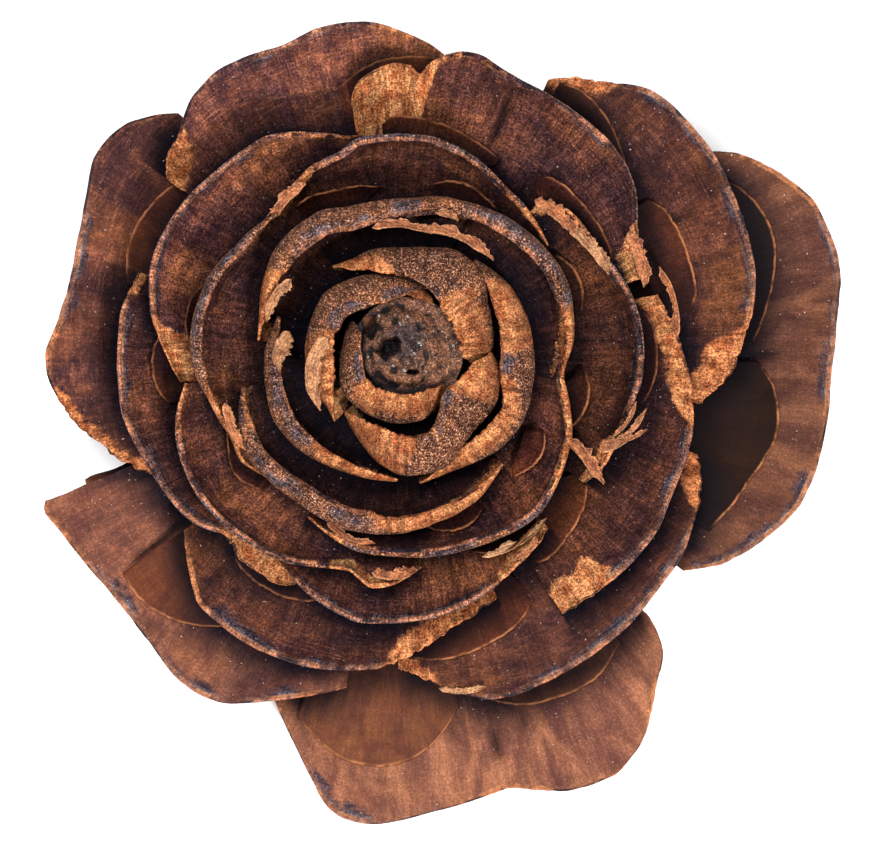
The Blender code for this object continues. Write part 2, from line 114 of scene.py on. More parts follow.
SCALES = [
    Scale(-2, [(201.5, 38.4), (205.5, 38.9), (209.5, 38.7), (213.5, 38.0), (225.5, 34.0)],
          grey=[(201, 226)]),
    Scale(0, [(249, 41.0), (253.1, 44.3), (256.2, 47.1), (258.4, 49.4), (260.5, 51.8), (262.8, 52.7),
          (266.2, 53.0), (270, 52.3), (273.7, 51.5), (280.3, 50.6), (283.9, 50.1), (286.7, 51.1),
          (290.1, 52.3), (293.4, 52.8), (297, 53.0), (301.4, 51.3), (304.2, 49.3), (307.4, 46.7),
          (310.9, 44.7), (312.5, 42.7), (313, 40.3)], grey=[(255, 275)], creases=[(283.5, 42.0, 48.0)]),
    Scale(2, [(322, 39.7), (326.5, 42.9), (331.6, 45.1), (338.3, 47.5), (344.2, 48.1), (357.5, 47.9),
          (365, 48.7), (369, 49.6), (373, 49.8), (380, 49.1), (385, 46.9), (388, 45.2), (391, 43.5),
          (393, 41.3)], grey=[(322, 345), (352, 380)], creases=[(359, 37.0, 43.0)]),
    Scale(3, [(202.5, 43.2), (203.5, 44.1), (207, 43.3), (212.1, 42.8), (218.1, 42.3), (223.3, 42.4),
          (229, 43.0), (234.1, 44.2), (238.6, 44.6), (242.7, 44.2), (248.6, 41.8), (252.9, 40.4),
          (260.5, 38.0)], grey=[(212, 252)], creases=[(218, 29.0, 39.0)]),
    Scale(5, [(269, 35.5), (275.1, 37.2), (280, 38.7), (284, 40.0), (289.4, 40.2), (297.8, 40.0),
          (309.1, 39.6), (317.7, 38.8), (324.4, 38.5), (329.4, 37.6), (333.8, 37.3), (339, 35.7),
          (341, 34.9)], bare=[(333, 342, 2.6), (268, 276, 1.5)], grey=[(280, 330)]),
    Scale(6, [(133, 36.5), (136.1, 38.2), (140, 39.9), (143.4, 40.6), (148.1, 40.7), (153.2, 39.5),
          (158.5, 38.6), (165, 38.0), (170.1, 38.0), (175.3, 38.7), (180, 39.9), (184.1, 39.8),
          (188.1, 39.0), (192.5, 37.8), (195.9, 35.9), (200.9, 34.0), (206, 31.4)],
          bare=[(186, 207, 1.2)], grey=[(146, 176)]),
    Scale(7, [(-10, 33.7), (-3.9, 36.8), (1.3, 38.0), (5.6, 39.0), (12.2, 40.2), (19.4, 40.6),
          (32.1, 41.0), (37.4, 40.9), (42.5, 40.7), (46.8, 40.2), (52.7, 37.9), (59, 36.0), (62, 34.5)],
          bare=[(-11, 3, 4.5), (52, 63, 1.4)], grey=[(8, 50)], creases=[(26, 30.0, 36.5)]),
    Scale(8, [(219, 31.4), (231, 36.2), (243, 36.9), (255, 36.5), (267, 35.2), (275, 32.9), (279.1, 31.5),
          (286, 30.3), (291, 29.6)], bare=[(268, 292, 3.0)], grey=[(232, 268)]),
    Scale(9, [(82, 33.3), (84.8, 34.3), (89.8, 35.5), (95, 36.8), (100, 37.2), (105.2, 37.2),
          (109.7, 36.6), (112.2, 36.5), (117, 37.1), (123.8, 37.5), (129.9, 36.7), (136, 34.8),
          (140.4, 34.3), (144, 32.8)], bare=[(136, 145, 3.5)], grey=[(95, 132)]),
    Scale(10, [(301, 34.2), (312.5, 34.5), (325.1, 34.5), (331, 33.9), (341.1, 33.5), (347, 33.2),
          (355, 32.1), (360, 31.3), (366, 30.3), (371.4, 29.4), (373, 29.0)], bare=[(300, 313, 4.0),
          (347, 374, 2.6)], grey=[(312, 345)]),
    Scale(11, [(163, 30.7), (166.7, 31.1), (171.8, 31.6), (193.6, 31.8), (203.9, 31.0), (215, 30.4),
          (219.8, 29.8), (226, 28.2), (230.8, 29.4), (241.8, 29.4), (246, 28.4)], bare=[(226, 247, 3.4),
          (162, 168, 1.2)], grey=[(168, 224)]),
    Scale(12, [(17, 28.0), (22.4, 28.5), (30.4, 30.0), (34.8, 31.3), (39.7, 32.1), (46, 32.7), (60, 32.7),
          (66, 32.8), (70.7, 33.2), (75.2, 34.0), (78.7, 33.9), (84.6, 32.3), (86.3, 30.2), (88.2, 31.7),
          (91, 32.2), (94, 31.8), (98.6, 30.7), (101, 29.7), (102, 28.1)], bare=[(85, 103, 9.0),
          (16, 28, 2.4)], grey=[(26, 74)], creases=[(67.5, 24.0, 32.6)]),
    Scale(13, [(238, 26.7), (240.9, 27.2), (249.1, 28.7), (255.2, 29.6), (260.3, 30.2), (267, 30.0),
          (276.5, 29.6), (283.3, 28.9), (291, 27.9), (296.2, 27.2), (298.4, 26.8), (304, 26.2),
          (310, 25.4)], bare=[(294, 311, 2.2)], grey=[(242, 292)]),
    Scale(14, [(100, 24.4), (105.4, 24.7), (112.4, 26.0), (116.8, 27.1), (122, 28.1), (137, 28.6),
          (143.9, 29.2), (157.1, 29.6), (161.8, 29.4), (166.9, 28.7), (173.4, 27.7), (181, 26.2),
          (188, 24.9)], bare=[(174, 189, 3.6)], grey=[(116, 172)]),
    Scale(15, [(324, 24.8), (328.4, 25.6), (333.6, 25.7), (345.4, 25.8), (353.1, 26.5), (361.8, 26.5),
          (368.4, 26.3), (376.2, 25.7), (383.5, 24.7), (391, 24.3), (401, 24.1), (408, 21.8)],
          bare=[(323, 338, 2.4), (388, 409, 2.0)], grey=[(345, 384)]),
    Scale(16, [(188, 24.3), (194.6, 25.7), (202.3, 26.7), (210.3, 27.3), (216.9, 27.4), (225.8, 27.1),
          (234.4, 26.8), (242.1, 26.1), (250.3, 25.0), (256.7, 24.6), (262, 26.2), (268, 25.6),
          (275, 23.9)], bare=[(252, 276, 2.2), (187, 194, 1.0)], grey=[(200, 248)]),
    Scale(17, [(36, 20.0), (49.9, 20.7), (56.3, 21.0), (64.8, 21.9), (73, 22.8), (81.9, 23.6),
          (101.9, 23.7), (106.7, 22.8), (116.1, 22.5), (126.9, 21.5), (138, 21.0)], bare=[(118, 139, 2.6),
          (35, 50, 1.0)], grey=[(62, 116)]),
    Scale(18, [(240, 21.1), (257.3, 22.2), (287.3, 22.4), (305.4, 23.0), (310.7, 23.0), (318.5, 22.3),
          (325.6, 21.4), (331.9, 20.7), (340.3, 19.1), (349.8, 17.6), (364, 17.0)], bare=[(318, 350, 1.4),
          (239, 252, 1.6)], grey=[(260, 318)]),
    Scale(19, [(132, 20.6), (148.5, 21.4), (155.6, 22.2), (162.4, 22.6), (170.4, 22.9), (177.9, 22.8),
          (186.4, 22.4), (192.8, 21.8), (205.9, 21.0), (214.7, 21.4), (223, 20.4)],
          bare=[(192, 224, 3.0)], grey=[(138, 188)]),
    Scale(20, [(-10, 17.7), (-2.7, 17.9), (4.7, 18.4), (12.8, 18.7), (28.8, 19.0), (36.7, 18.7),
          (46.1, 18.3), (56, 17.9), (67.2, 17.2), (78.5, 16.7), (94, 16.3)], bare=[(-11, 16, 2.5)],
          grey=[(14, 70)]),
    Scale(21, [(192, 18.1), (203.1, 19.1), (215.2, 19.9), (233.4, 19.4), (250.7, 19.9), (270, 19.4),
          (280.3, 18.6), (291.7, 18.0), (312, 16.6)], bare=[(262, 313, 2.5)], grey=[(205, 258)]),
    Scale(22, [(64, 16.6), (90, 16.2), (112, 16.3), (120, 17.2), (140, 17.4), (150, 16.8), (160, 16.0),
          (176, 15.8)], bare=[(148, 177, 3.0)], grey=[(80, 140)]),
    Scale(23, [(277, 15.1), (293.3, 14.2), (304.8, 14.4), (316.4, 14.9), (328.2, 15.1), (340, 14.9),
          (350, 14.6), (363, 14.1), (379.4, 13.9), (397, 13.5), (412, 13.3)], margin=[(277, 14.3),
          (282.8, 13.9), (294.4, 12.4), (309, 12.2), (330.3, 12.4), (343.7, 11.0), (360, 10.5),
          (385.3, 10.8), (400.6, 11.8), (412, 12.6)], bare=[(276, 345, 3.0), (360, 395, 6.0)],
          grey=[(345, 360)]),
    Scale(24, [(164, 14.8), (180, 15.1), (190, 15.3), (210, 16.0), (219.6, 15.8), (229.6, 15.3),
          (249, 14.6), (268, 14.6)], margin=[(164, 13.8), (190, 13.6), (215, 13.9), (240, 13.4),
          (268, 13.6)], bare=[(228, 269, 2.6)], grey=[(170, 222)]),
    Scale(25, [(-12, 8.4), (-4, 9.6), (4, 10.0), (14.6, 10.2), (31.4, 10.8), (44.1, 12.2), (62.9, 12.4),
          (74.6, 11.6), (90, 11.4), (118.8, 11.7), (130, 12.6)], margin=[(-12, 6.9), (-6, 6.1), (13, 5.9),
          (26.6, 5.7), (44, 5.8), (60, 7.0), (90, 8.2), (103.8, 8.6), (122.9, 10.4), (130, 11.6)],
          bare=[(-12, 50, 5.0), (100, 131, 3.0)], grey=[(56, 84)]),
    Scale(26, [(226, 9.7), (237.1, 10.4), (248.7, 11.3), (260.7, 12.7), (270, 13.5), (290.2, 13.4),
          (303, 12.2), (315, 11.6), (330.1, 11.8), (344.4, 11.4), (360, 10.2)], margin=[(226, 8.6),
          (237.3, 8.5), (255.5, 8.2), (270, 9.0), (287, 9.3), (300, 7.8), (310, 6.5), (324.6, 6.1),
          (338, 6.4), (350, 7.4), (360, 9.0)], bare=[(226, 275, 6.0), (325, 361, 6.0)],
          grey=[(290, 318)]),
    Scale(27, [(66, 8.0), (90, 8.5), (104, 8.5), (125.4, 9.7), (143.7, 10.8), (157, 10.6), (209, 10.6),
          (216, 10.5), (226, 11.2)], margin=[(66, 7.4), (78, 6.6), (90, 5.9), (110, 5.5), (131.6, 6.2),
          (150.8, 7.3), (176, 7.2), (200, 7.5), (211.8, 8.7), (226, 10.4)], bare=[(168, 227, 6.0)],
          grey=[(120, 164)]),
    Scale(28, [(52, 6.6), (64, 7.2), (78, 7.5), (94, 7.0)], margin=[(52, 6.3), (64, 6.0), (78, 5.9),
          (94, 6.4)], bare=[(52, 94, 3.0)]),
    Scale(29, [(148, 6.9), (173, 6.6), (195, 6.9), (214, 7.8), (288, 7.8), (306, 7.2), (318, 6.7),
          (328, 6.4)], margin=[(148, 5.0), (154.8, 4.8), (187, 4.4), (212, 4.8), (242, 4.4), (301, 4.6),
          (316, 5.4), (328, 6.1)], bare=[(216, 329, 4.0)], grey=[(196, 216)]),
]

# order: the scale that the wing lies on. edge: (azimuth, radius) along its outer end.
# stand: how far that end leans away from the scale.
Wing = namedtuple("Wing", "order name edge stand", defaults=[0.0])

WINGS = [
    Wing(0, "clockwise", [(254, 42.5), (261.3, 46.3), (268.2, 46.6), (275.4, 43.9), (279, 40.0)]),
    Wing(0, "counter", [(283, 39.5), (288.1, 41.8), (294.3, 42.4), (300.8, 42.7), (307, 40.5)]),
    Wing(2, "clockwise", [(329.5, 39.5), (336.3, 40.9), (340.1, 41.2), (345.2, 42.7), (348.3, 42.9),
         (352.8, 42.3), (356.5, 41.4), (358.5, 39.5)]),
    Wing(2, "counter", [(361, 39.0), (365.1, 40.4), (370.2, 42.0), (375.2, 43.2), (378.8, 43.7),
         (386, 42.3), (388, 41.0)]),
    Wing(3, "counter", [(218.5, 39.8), (221.4, 40.5), (225.7, 40.2), (232.1, 38.6), (239.5, 35.4)]),
    Wing(5, "clockwise", [(270, 34.0), (276, 34.7), (284.5, 34.2), (293.2, 33.0), (297, 31.5)]),
    Wing(6, "clockwise", [(136.5, 29.5), (144.4, 31.9), (152.5, 32.9), (159.9, 32.9), (166.5, 31.6)]),
    Wing(7, "clockwise", [(8, 32.5), (10, 33.5), (23.8, 33.6), (30.6, 33.2), (32, 32.0)]),
    Wing(7, "counter", [(38, 32.0), (46.3, 34.1), (52.7, 35.2), (58.3, 35.3), (60, 34.6)]),
    Wing(8, "clockwise", [(230, 29.5), (234.7, 30.4), (241, 30.5), (248.8, 30.1), (252, 29.0)]),
    Wing(9, "clockwise", [(81, 32.6), (82.9, 33.0), (90.6, 32.8), (96.5, 32.4), (104, 30.2)]),
    Wing(10, "clockwise", [(302, 27.6), (303.7, 28.4), (310.8, 27.6), (319, 26.8), (326, 24.8)], 0.5),
    Wing(10, "counter", [(348, 27.2), (353, 28.1), (360, 28.3), (366, 28.0), (370, 27.0)], 0.5),
    Wing(11, "clockwise", [(174.5, 26.6), (178, 27.7), (184, 28.0), (189, 27.6), (192.5, 26.6)], 0.5),
    Wing(12, "clockwise", [(23, 25.4), (30, 25.9), (44.1, 25.9), (50.3, 25.6), (52, 24.8)], 0.5),
    Wing(12, "counter", [(63.5, 24.0), (76.8, 25.5), (90, 26.3), (94.3, 26.2), (95.5, 25.4)], 0.5),
    Wing(13, "counter", [(289.5, 23.4), (292.2, 24.1), (299.9, 25.0), (306, 25.0), (308.5, 24.4)], 1.0),
    Wing(14, "counter", [(160, 22.8), (165, 24.1), (170, 24.4), (176, 24.1), (180, 23.0)], 1.5),
    Wing(15, "clockwise", [(334.5, 20.2), (340, 21.1), (345, 21.3), (350, 21.0), (354.5, 20.2)], 0.6),
    Wing(15, "counter", [(372.5, 20.2), (378, 21.0), (384, 21.2), (389, 20.8), (392.5, 20.0)], 0.5),
    Wing(16, "clockwise", [(202, 21.0), (207, 21.8), (213, 22.9), (217, 23.2), (225, 21.8)], 0.8),
    Wing(17, "clockwise", [(55.5, 18.8), (59.4, 19.2), (66, 19.8), (74, 19.8), (80.5, 18.6)], 0.4),
    Wing(17, "counter", [(97, 18.4), (105, 18.9), (114.9, 19.4), (122, 20.0), (127, 19.6)], 0.8),
    Wing(18, "clockwise", [(277, 19.4), (282, 20.3), (288, 20.6), (294, 20.2), (297, 19.4)], 0.3),
    Wing(18, "counter", [(312, 18.4), (317, 19.0), (322, 19.2), (328, 18.8), (332, 18.0)], 0.6),
]
WING_LIFT = 0.5
WING_LIFT_STEP = 0.012
WING_THICKNESS = 0.3
WING_INNER_END = 0.5
WING_ROOT_BREADTH = 0.55
WING_FULL_BREADTH_END = 0.7
WING_OUTLINE_BLUR = 2.2
WING_EDGE_HALVINGS = 16


def smooth_step(low, high, value):
    t = np.clip((value - low) / (high - low), 0.0, 1.0)
    return t * t * (3.0 - 2.0 * t)


def value_noise(x, y, seed):
    """Smooth noise from 0 to 1 on a unit lattice that repeats every 64 cells."""
    table = np.random.default_rng(seed).random((64, 64))
    x0 = np.floor(x).astype(int)
    y0 = np.floor(y).astype(int)
    fx = x - x0
    fy = y - y0
    fx = fx * fx * (3.0 - 2.0 * fx)
    fy = fy * fy * (3.0 - 2.0 * fy)
    x1 = (x0 + 1) % 64
    y1 = (y0 + 1) % 64
    x0 = x0 % 64
    y0 = y0 % 64
    low = table[x0, y0] * (1.0 - fx) + table[x1, y0] * fx
    high = table[x0, y1] * (1.0 - fx) + table[x1, y1] * fx
    return low * (1.0 - fy) + high * fy


def rough_noise(x, y, seed, octaves=4):
    """Several octaves of value noise, from about -1 to 1."""
    total = np.zeros(np.broadcast(x, y).shape)
    size = 1.0
    reach = 0.0
    for octave in range(octaves):
        total += size * (2.0 * value_noise(x * 2 ** octave, y * 2 ** octave, seed + octave) - 1.0)
        reach += size
        size *= 0.55
    return total / reach


def rounded_curve(points, azimuths, blur):
    """Radius along an outline of (azimuth, radius) points, with its corners rounded over blur degrees."""
    knots = np.array(points, dtype=float)
    fine = np.linspace(knots[0, 0], knots[-1, 0], 500)
    radii = np.interp(fine, knots[:, 0], knots[:, 1])
    step = fine[1] - fine[0]
    reach = int(3.0 * blur / step) + 1
    kernel = np.exp(-0.5 * (np.arange(-reach, reach + 1) * step / blur) ** 2)
    padded = np.concatenate([
        2.0 * radii[0] - radii[reach:0:-1], radii, 2.0 * radii[-1] - radii[-2:-reach - 2:-1]])
    smooth = np.convolve(padded, kernel / kernel.sum(), mode="valid")
    return np.interp(azimuths, fine, smooth)


def window(azimuth, start, end, fade):
    """1 between two azimuths and 0 outside, with soft ends."""
    return smooth_step(start - fade, start + fade, azimuth) * smooth_step(end + fade, end - fade, azimuth)


def bare_depth(scale, azimuth):
    """How far in from the edge the torn skin reaches, at each azimuth."""
    depth = np.zeros_like(azimuth)
    fade = LIP_BARE_FADE if scale.margin else BARE_FADE
    for start, end, reach in scale.bare:
        depth = np.maximum(depth, reach * window(azimuth, start, end, fade))
    return depth


def grey_share(scale, azimuth):
    """How weathered the edge is, at each azimuth."""
    share = np.zeros_like(azimuth)
    for start, end in scale.grey:
        share = np.maximum(share, window(azimuth, start, end, GREY_FADE))
    return share


class ScaleForm:
    """A scale's bent surface, for u from side to side (-1 to 1) and v from root to edge (0 to 1)."""

    def __init__(self, scale):
        self.scale = scale
        self.low = scale.rim[0][0]
        self.high = scale.rim[-1][0]
        self.azimuth = (self.low + self.high) / 2.0
        self.half = (self.high - self.low) / 2.0
        order = scale.order
        self.root = FIRST_ROOT_HEIGHT + ROOT_STEP * order
        share = 1.0 - (1.0 - max(order, 0) / LAST_ORDER) ** RIM_HEIGHT_POWER
        self.top = LOW_RIM_HEIGHT + (TOP_RIM_HEIGHT - LOW_RIM_HEIGHT) * share
        closing = max(order - CLOSING_ORDER, 0.0)
        self.open_turn = OPEN_TURN + TURN_STEP * order + CLOSING_GAIN * closing ** 2
        self.rim_thickness = float(np.interp(order, RIM_ORDERS, RIM_THICKNESSES))

    def thickness(self, v):
        return ROOT_THICKNESS + (self.rim_thickness - ROOT_THICKNESS) * v

    def rim(self, azimuth):
        if self.scale.order < BUD_ORDER:
            return rounded_curve(self.scale.rim, azimuth, OUTLINE_BLUR)
        inset = BULGE_INSET if self.scale.margin else 0.0
        return rounded_curve(self.scale.rim, azimuth, BUD_OUTLINE_BLUR) - inset

    def nicks(self, azimuth):
        """How much of the edge is missing at each azimuth, deepest where the skin is torn."""
        seed = 100 + self.scale.order
        arc = np.radians(azimuth) * self.rim(azimuth)
        still = np.zeros_like(arc)
        torn = np.minimum(bare_depth(self.scale, azimuth), 1.0)
        worn = 0.13 + 0.13 * rough_noise(arc / 2.2, still, seed)
        coarse = np.abs(rough_noise(arc / 1.3, still, seed + 50))
        fine = np.abs(rough_noise(arc / 0.5, still, seed + 60))
        depth = 0.4 if self.scale.margin else 0.8
        return np.maximum(worn, 0.0) + depth * torn * (coarse + fine)

    def turn(self, u, azimuth, radius):
        """Degrees of its ellipse that the profile runs through, from the root to the edge."""
        if self.scale.margin:
            margin = rounded_curve(self.scale.margin, azimuth, BUD_OUTLINE_BLUR)
            margin = margin + 0.6 * (radius - margin) * smooth_step(0.88, 1.0, np.abs(u))
            share = np.clip((margin - ROOT_RADIUS) / (radius - ROOT_RADIUS), 0.05, 0.995)
            return 180.0 - np.degrees(np.arcsin(share))
        turn = np.full_like(u, self.open_turn)
        if self.open_turn > MARGIN_TURN_AT_SIDES:
            turn = turn - (self.open_turn - MARGIN_TURN_AT_SIDES) * u * u
        return turn

    def point(self, u, v):
        breadth = STALK_BREADTH + (1.0 - STALK_BREADTH) * smooth_step(0.0, STALK_END, v)
        edge_azimuth = self.azimuth + self.half * np.clip(u, -1.0, 1.0)
        azimuth = np.radians(self.azimuth + self.half * u * breadth)
        rim = self.rim(edge_azimuth)
        turn = self.turn(u, edge_azimuth, rim)
        angle = np.radians(turn) * v
        middle = np.radians(np.maximum(turn, self.open_turn) if self.scale.margin else self.open_turn)
        widest = np.sin(np.minimum(np.radians(turn), math.pi / 2.0))
        out = np.sin(angle) / widest
        up = (1.0 - np.cos(angle)) / (1.0 - np.cos(middle))
        radius = ROOT_RADIUS + (rim - ROOT_RADIUS) * out
        height = self.root + (self.top - self.root) * up * (1.0 - SHOULDER_DROP * np.abs(u) ** 3)
        openness = max(1.0 - self.scale.order / WAVE_FADE_ORDER, 0.0)
        wave = np.sin(np.pi * WAVE_COUNT * u + self.scale.order)
        height = height + WAVE_HEIGHT * openness * wave * v ** 3
        return np.stack([radius * np.cos(azimuth), radius * np.sin(azimuth), height], axis=-1)

    def normal(self, u, v):
        step = 0.006
        across = self.point(u + step, v) - self.point(u - step, v)
        along = self.point(u, v + step) - self.point(u, v - step)
        normal = np.cross(along, across)
        return normal / np.linalg.norm(normal, axis=-1, keepdims=True)


FORMS = {scale.order: ScaleForm(scale) for scale in SCALES}


def cover_radius(order, azimuth):
    """Outermost radius that the scales above this one reach, at each azimuth in degrees."""
    cover = np.zeros_like(azimuth)
    for above, form in FORMS.items():
        if above <= order:
            continue
        for turn in (-360.0, 0.0, 360.0):
            place = azimuth + turn
            inside = (place >= form.low) & (place <= form.high)
            reach = np.where(inside, form.rim(np.clip(place, form.low, form.high)), 0.0)
            cover = np.maximum(cover, reach)
    return cover


def edge_spaced(count, edge):
    """Even places from 0 to 1 with a finer run of steps, edge long, before 1."""
    fine = 1.0 - edge * np.array([0.7, 0.45, 0.25, 0.1, 0.0])
    return np.concatenate([np.linspace(0.0, 1.0 - edge, count), fine])


def edge_rounding(radius, *distances):
    """Share of the thickness that is left at these distances from the edges, which end half round."""
    rounding = np.ones_like(distances[0])
    for distance in distances:
        share = np.clip(distance / radius, 0.0, 1.0)
        rounding = rounding * np.sqrt(1.0 - (1.0 - share) ** 2)
    return rounding


def stacked(*channels):
    """Values of several kinds at every point of a grid, side by side."""
    return np.stack(np.broadcast_arrays(*channels), axis=-1)


def write_mask(mesh, name, values):
    attribute = mesh.color_attributes.new(name=name, type="FLOAT_COLOR", domain="POINT")
    attribute.data.foreach_set("color", values.astype(np.float32).ravel())


def add_object(name, data):
    item = bpy.data.objects.new(name, data)
    bpy.context.scene.collection.objects.link(item)
    return item


def ring_faces(rings, around, first=0, downward=False):
    """Faces between rings of points that follow each other up or down a body, and its two end caps."""
    grid = first + np.arange(rings * around).reshape(rings, around)
    ahead = np.roll(grid, -1, axis=1)
    sides = [grid[:-1], ahead[:-1], ahead[1:], grid[1:]]
    caps = [grid[0, ::-1].tolist(), grid[-1].tolist()]
    if downward:
        sides = [grid[:-1], grid[1:], ahead[1:], ahead[:-1]]
        caps = [grid[0].tolist(), grid[-1, ::-1].tolist()]
    return np.stack(sides, axis=-1).reshape(-1, 4).tolist() + caps


def closed_sheet(name, material, upper, lower, uv, masks_upper, masks_lower):
    """Object of two grids of points that meet along their border.

    upper and lower are rows x columns x 3, uv is rows x columns x 2, and each mask rows x columns x 4.
    The masks are wear and tone, whose meaning each material's function gives.
    """
    rows, columns = upper.shape[:2]
    count = rows * columns
    inner = np.zeros((rows, columns), dtype=bool)
    inner[1:-1, 1:-1] = True
    top = np.arange(count).reshape(rows, columns)
    bottom = top.copy()
    bottom[inner] = count + np.arange(inner.sum())
    points = np.concatenate([upper.reshape(-1, 3), lower[inner]])
    coordinates = np.concatenate([uv.reshape(-1, 2), uv[inner]])
    faces = []
    for grid, flip in ((top, False), (bottom, True)):
        corners = [grid[:-1, :-1], grid[:-1, 1:], grid[1:, 1:], grid[1:, :-1]]
        quads = np.stack(corners, axis=-1).reshape(-1, 4)
        faces.append(quads if flip else quads[:, ::-1])
    mesh = bpy.data.meshes.new(name)
    mesh.from_pydata((points * MM).tolist(), [], np.concatenate(faces).tolist())
    layer = mesh.uv_layers.new(name="grain")
    corners = np.empty(len(mesh.loops), dtype=np.int32)
    mesh.loops.foreach_get("vertex_index", corners)
    layer.data.foreach_set("uv", coordinates[corners].astype(np.float32).ravel())
    for label, above, below in zip(("wear", "tone"), masks_upper, masks_lower):
        write_mask(mesh, label, np.concatenate([above.reshape(-1, 4), below[inner]]))
    mesh.shade_smooth()
    mesh.materials.append(material)
    return add_object(name, mesh)


def make_scale(scale, material):
    form = FORMS[scale.order]
    order = scale.order
    reach = max(radius for _, radius in scale.rim)
    half_width = math.radians(form.half) * reach
    columns = int(64 + reach * 1.3)
    rows = int(32 + reach * 0.4)
    side = edge_spaced(columns // 2, FINE_EDGE / half_width)
    u, v = np.meshgrid(np.concatenate([-side[:0:-1], side]), edge_spaced(rows, FINE_EDGE / (reach * 1.15)))
    azimuth = form.azimuth + form.half * u
    spine = form.point(u, v)
    spine_length = np.linalg.norm(np.diff(spine, axis=0), axis=-1).sum(axis=0)[None, :]
    v = v * (1.0 - form.nicks(azimuth) / spine_length)
    side_nicks = np.abs(rough_noise(v * 9.0, np.sign(u) * 7.0, 200 + order))
    u = u * (1.0 - 0.35 * side_nicks * smooth_step(0.3, 0.7, v) / half_width)
    middle = form.point(u, v)
    normal = form.normal(u, v)
    planar = np.hypot(middle[..., 0], middle[..., 1])

    along = np.zeros_like(v)
    along[1:] = np.cumsum(np.linalg.norm(np.diff(middle, axis=0), axis=-1), axis=0)
    from_rim = along[-1:] - along
    across = np.radians(azimuth - form.azimuth) * reach
    from_side = (1.0 - np.abs(u)) * math.radians(form.half) * np.maximum(planar, 3.0)

    torn = bare_depth(scale, azimuth)
    thickness = form.thickness(v)
    thickness = thickness * (1.0 - 0.45 * np.clip(torn / 3.0, 0.0, 1.0) * smooth_step(4.0, 0.0, from_rim))
    thickness = thickness * (1.0 + 0.14 * rough_noise(across / 3.0, along / 5.0, 300 + order))
    thickness = thickness * (1.0 - 0.7 * smooth_step(5.0, 0.0, from_side) * smooth_step(0.4, 0.8, v))
    rounding = edge_rounding(np.minimum(thickness * 0.5, EDGE_RADIUS), from_rim, from_side, along)

    # Low relief: broad dents, fibre ridges that fan out from the root, growth lines along the edge
    dents = 0.22 * rough_noise(across / 7.0, along / 8.0, 400 + order, 3) * smooth_step(0.0, 0.3, v)
    wrinkled = smooth_step(0.05, 0.5, rough_noise(across / 8.0, along / 9.0, 550 + order, 2))
    ridges = (0.05 + 0.16 * wrinkled) * rough_noise(across / 1.0, along / 10.0, 500 + order, 3)
    lines = 0.035 * rough_noise(across / 9.0, from_rim / 0.7, 600 + order, 3)
    relief = (dents + ridges + lines * smooth_step(9.0, 1.0, from_rim)) * rounding
    groove = np.zeros_like(v)
    for place, start, end in scale.creases:
        bend = 1.2 * rough_noise(planar / 4.0, planar * 0.0, 700 + order, 2)
        gap = np.radians(azimuth - place - bend) * planar
        ends = smooth_step(start, start + 2.5, planar) * smooth_step(end, end - 2.5, planar)
        groove = np.maximum(groove, np.exp(-(gap / CREASE_BREADTH) ** 2) * ends)
    upper = middle + normal * (thickness * 0.5 * rounding + relief - CREASE_DEPTH * groove)[..., None]
    lower = middle - normal * (thickness * 0.5 * rounding - dents * rounding)[..., None]

    # Painted shade darkens the clefts below the scales above, less near the rim and on bare wood, and a lip
    # shows its rough outer skin past its widest place
    past_widest = smooth_step(76.0, 108.0, v * form.turn(u, azimuth, form.rim(azimuth)))
    ragged = rough_noise(across / 2.6, along / 2.6, 800 + order)
    bare = smooth_step(-1.6, 1.6, torn * (1.0 + 0.5 * ragged) - from_rim) * smooth_step(0.1, 0.8, torn)
    grey = grey_share(scale, azimuth) * smooth_step(2.7, 0.5, from_rim + 0.8 * ragged)
    deep = np.interp(order, CLEFT_SHADE_ORDERS, CLEFT_SHADE_REACHES)
    cleft_shade = (1.0 - smooth_step(0.0, deep, planar - cover_radius(order, azimuth))) * (1.0 - past_widest)
    cleft_shade = cleft_shade * (0.3 + 0.7 * smooth_step(0.6, 3.2, from_rim)) * (1.0 - 0.75 * bare)
    rim = np.clip(from_rim / RIM_REACH, 0.0, 1.0)
    if order > BUD_ORDER:
        felt = past_widest
    elif order >= FELTED_ORDER:
        felt = smooth_step(3.6, 1.2, from_rim)
    else:
        felt = 0.0
    low = np.clip(1.0 - order / LAST_ORDER, 0.0, 1.0)
    shade = SHADES.get(order, BUD_SHADE) / 2.0
    # Underside weathering near the rim, which also stands in as a painted shade for the rim's dark outer
    # side
    weathered_and_shaded = np.maximum(grey, 0.8 * smooth_step(2.2, 0.6, from_rim) * (1.0 - bare))
    # Painted shade on the underside towards the root; the groove below also carries painted shade into the
    # creases
    inward = 1.0 - smooth_step(0.1, 0.55, v)
    above = stacked(bare, grey, cleft_shade, rim), stacked(felt, low, np.clip(groove, 0.0, 1.0), shade)
    below = (stacked(bare * 0.8, weathered_and_shaded, inward * 0.7, np.minimum(rim + 0.25, 1.0)),
             stacked(np.full_like(v, 0.7), low, 0.0, 0.45))
    name = "scale_{:02d}".format(order) if order >= 0 else "scale_below"
    item = closed_sheet(name, material, upper, lower, np.stack([across, along], axis=-1), above, below)
    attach(item, "root")
    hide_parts("cone")


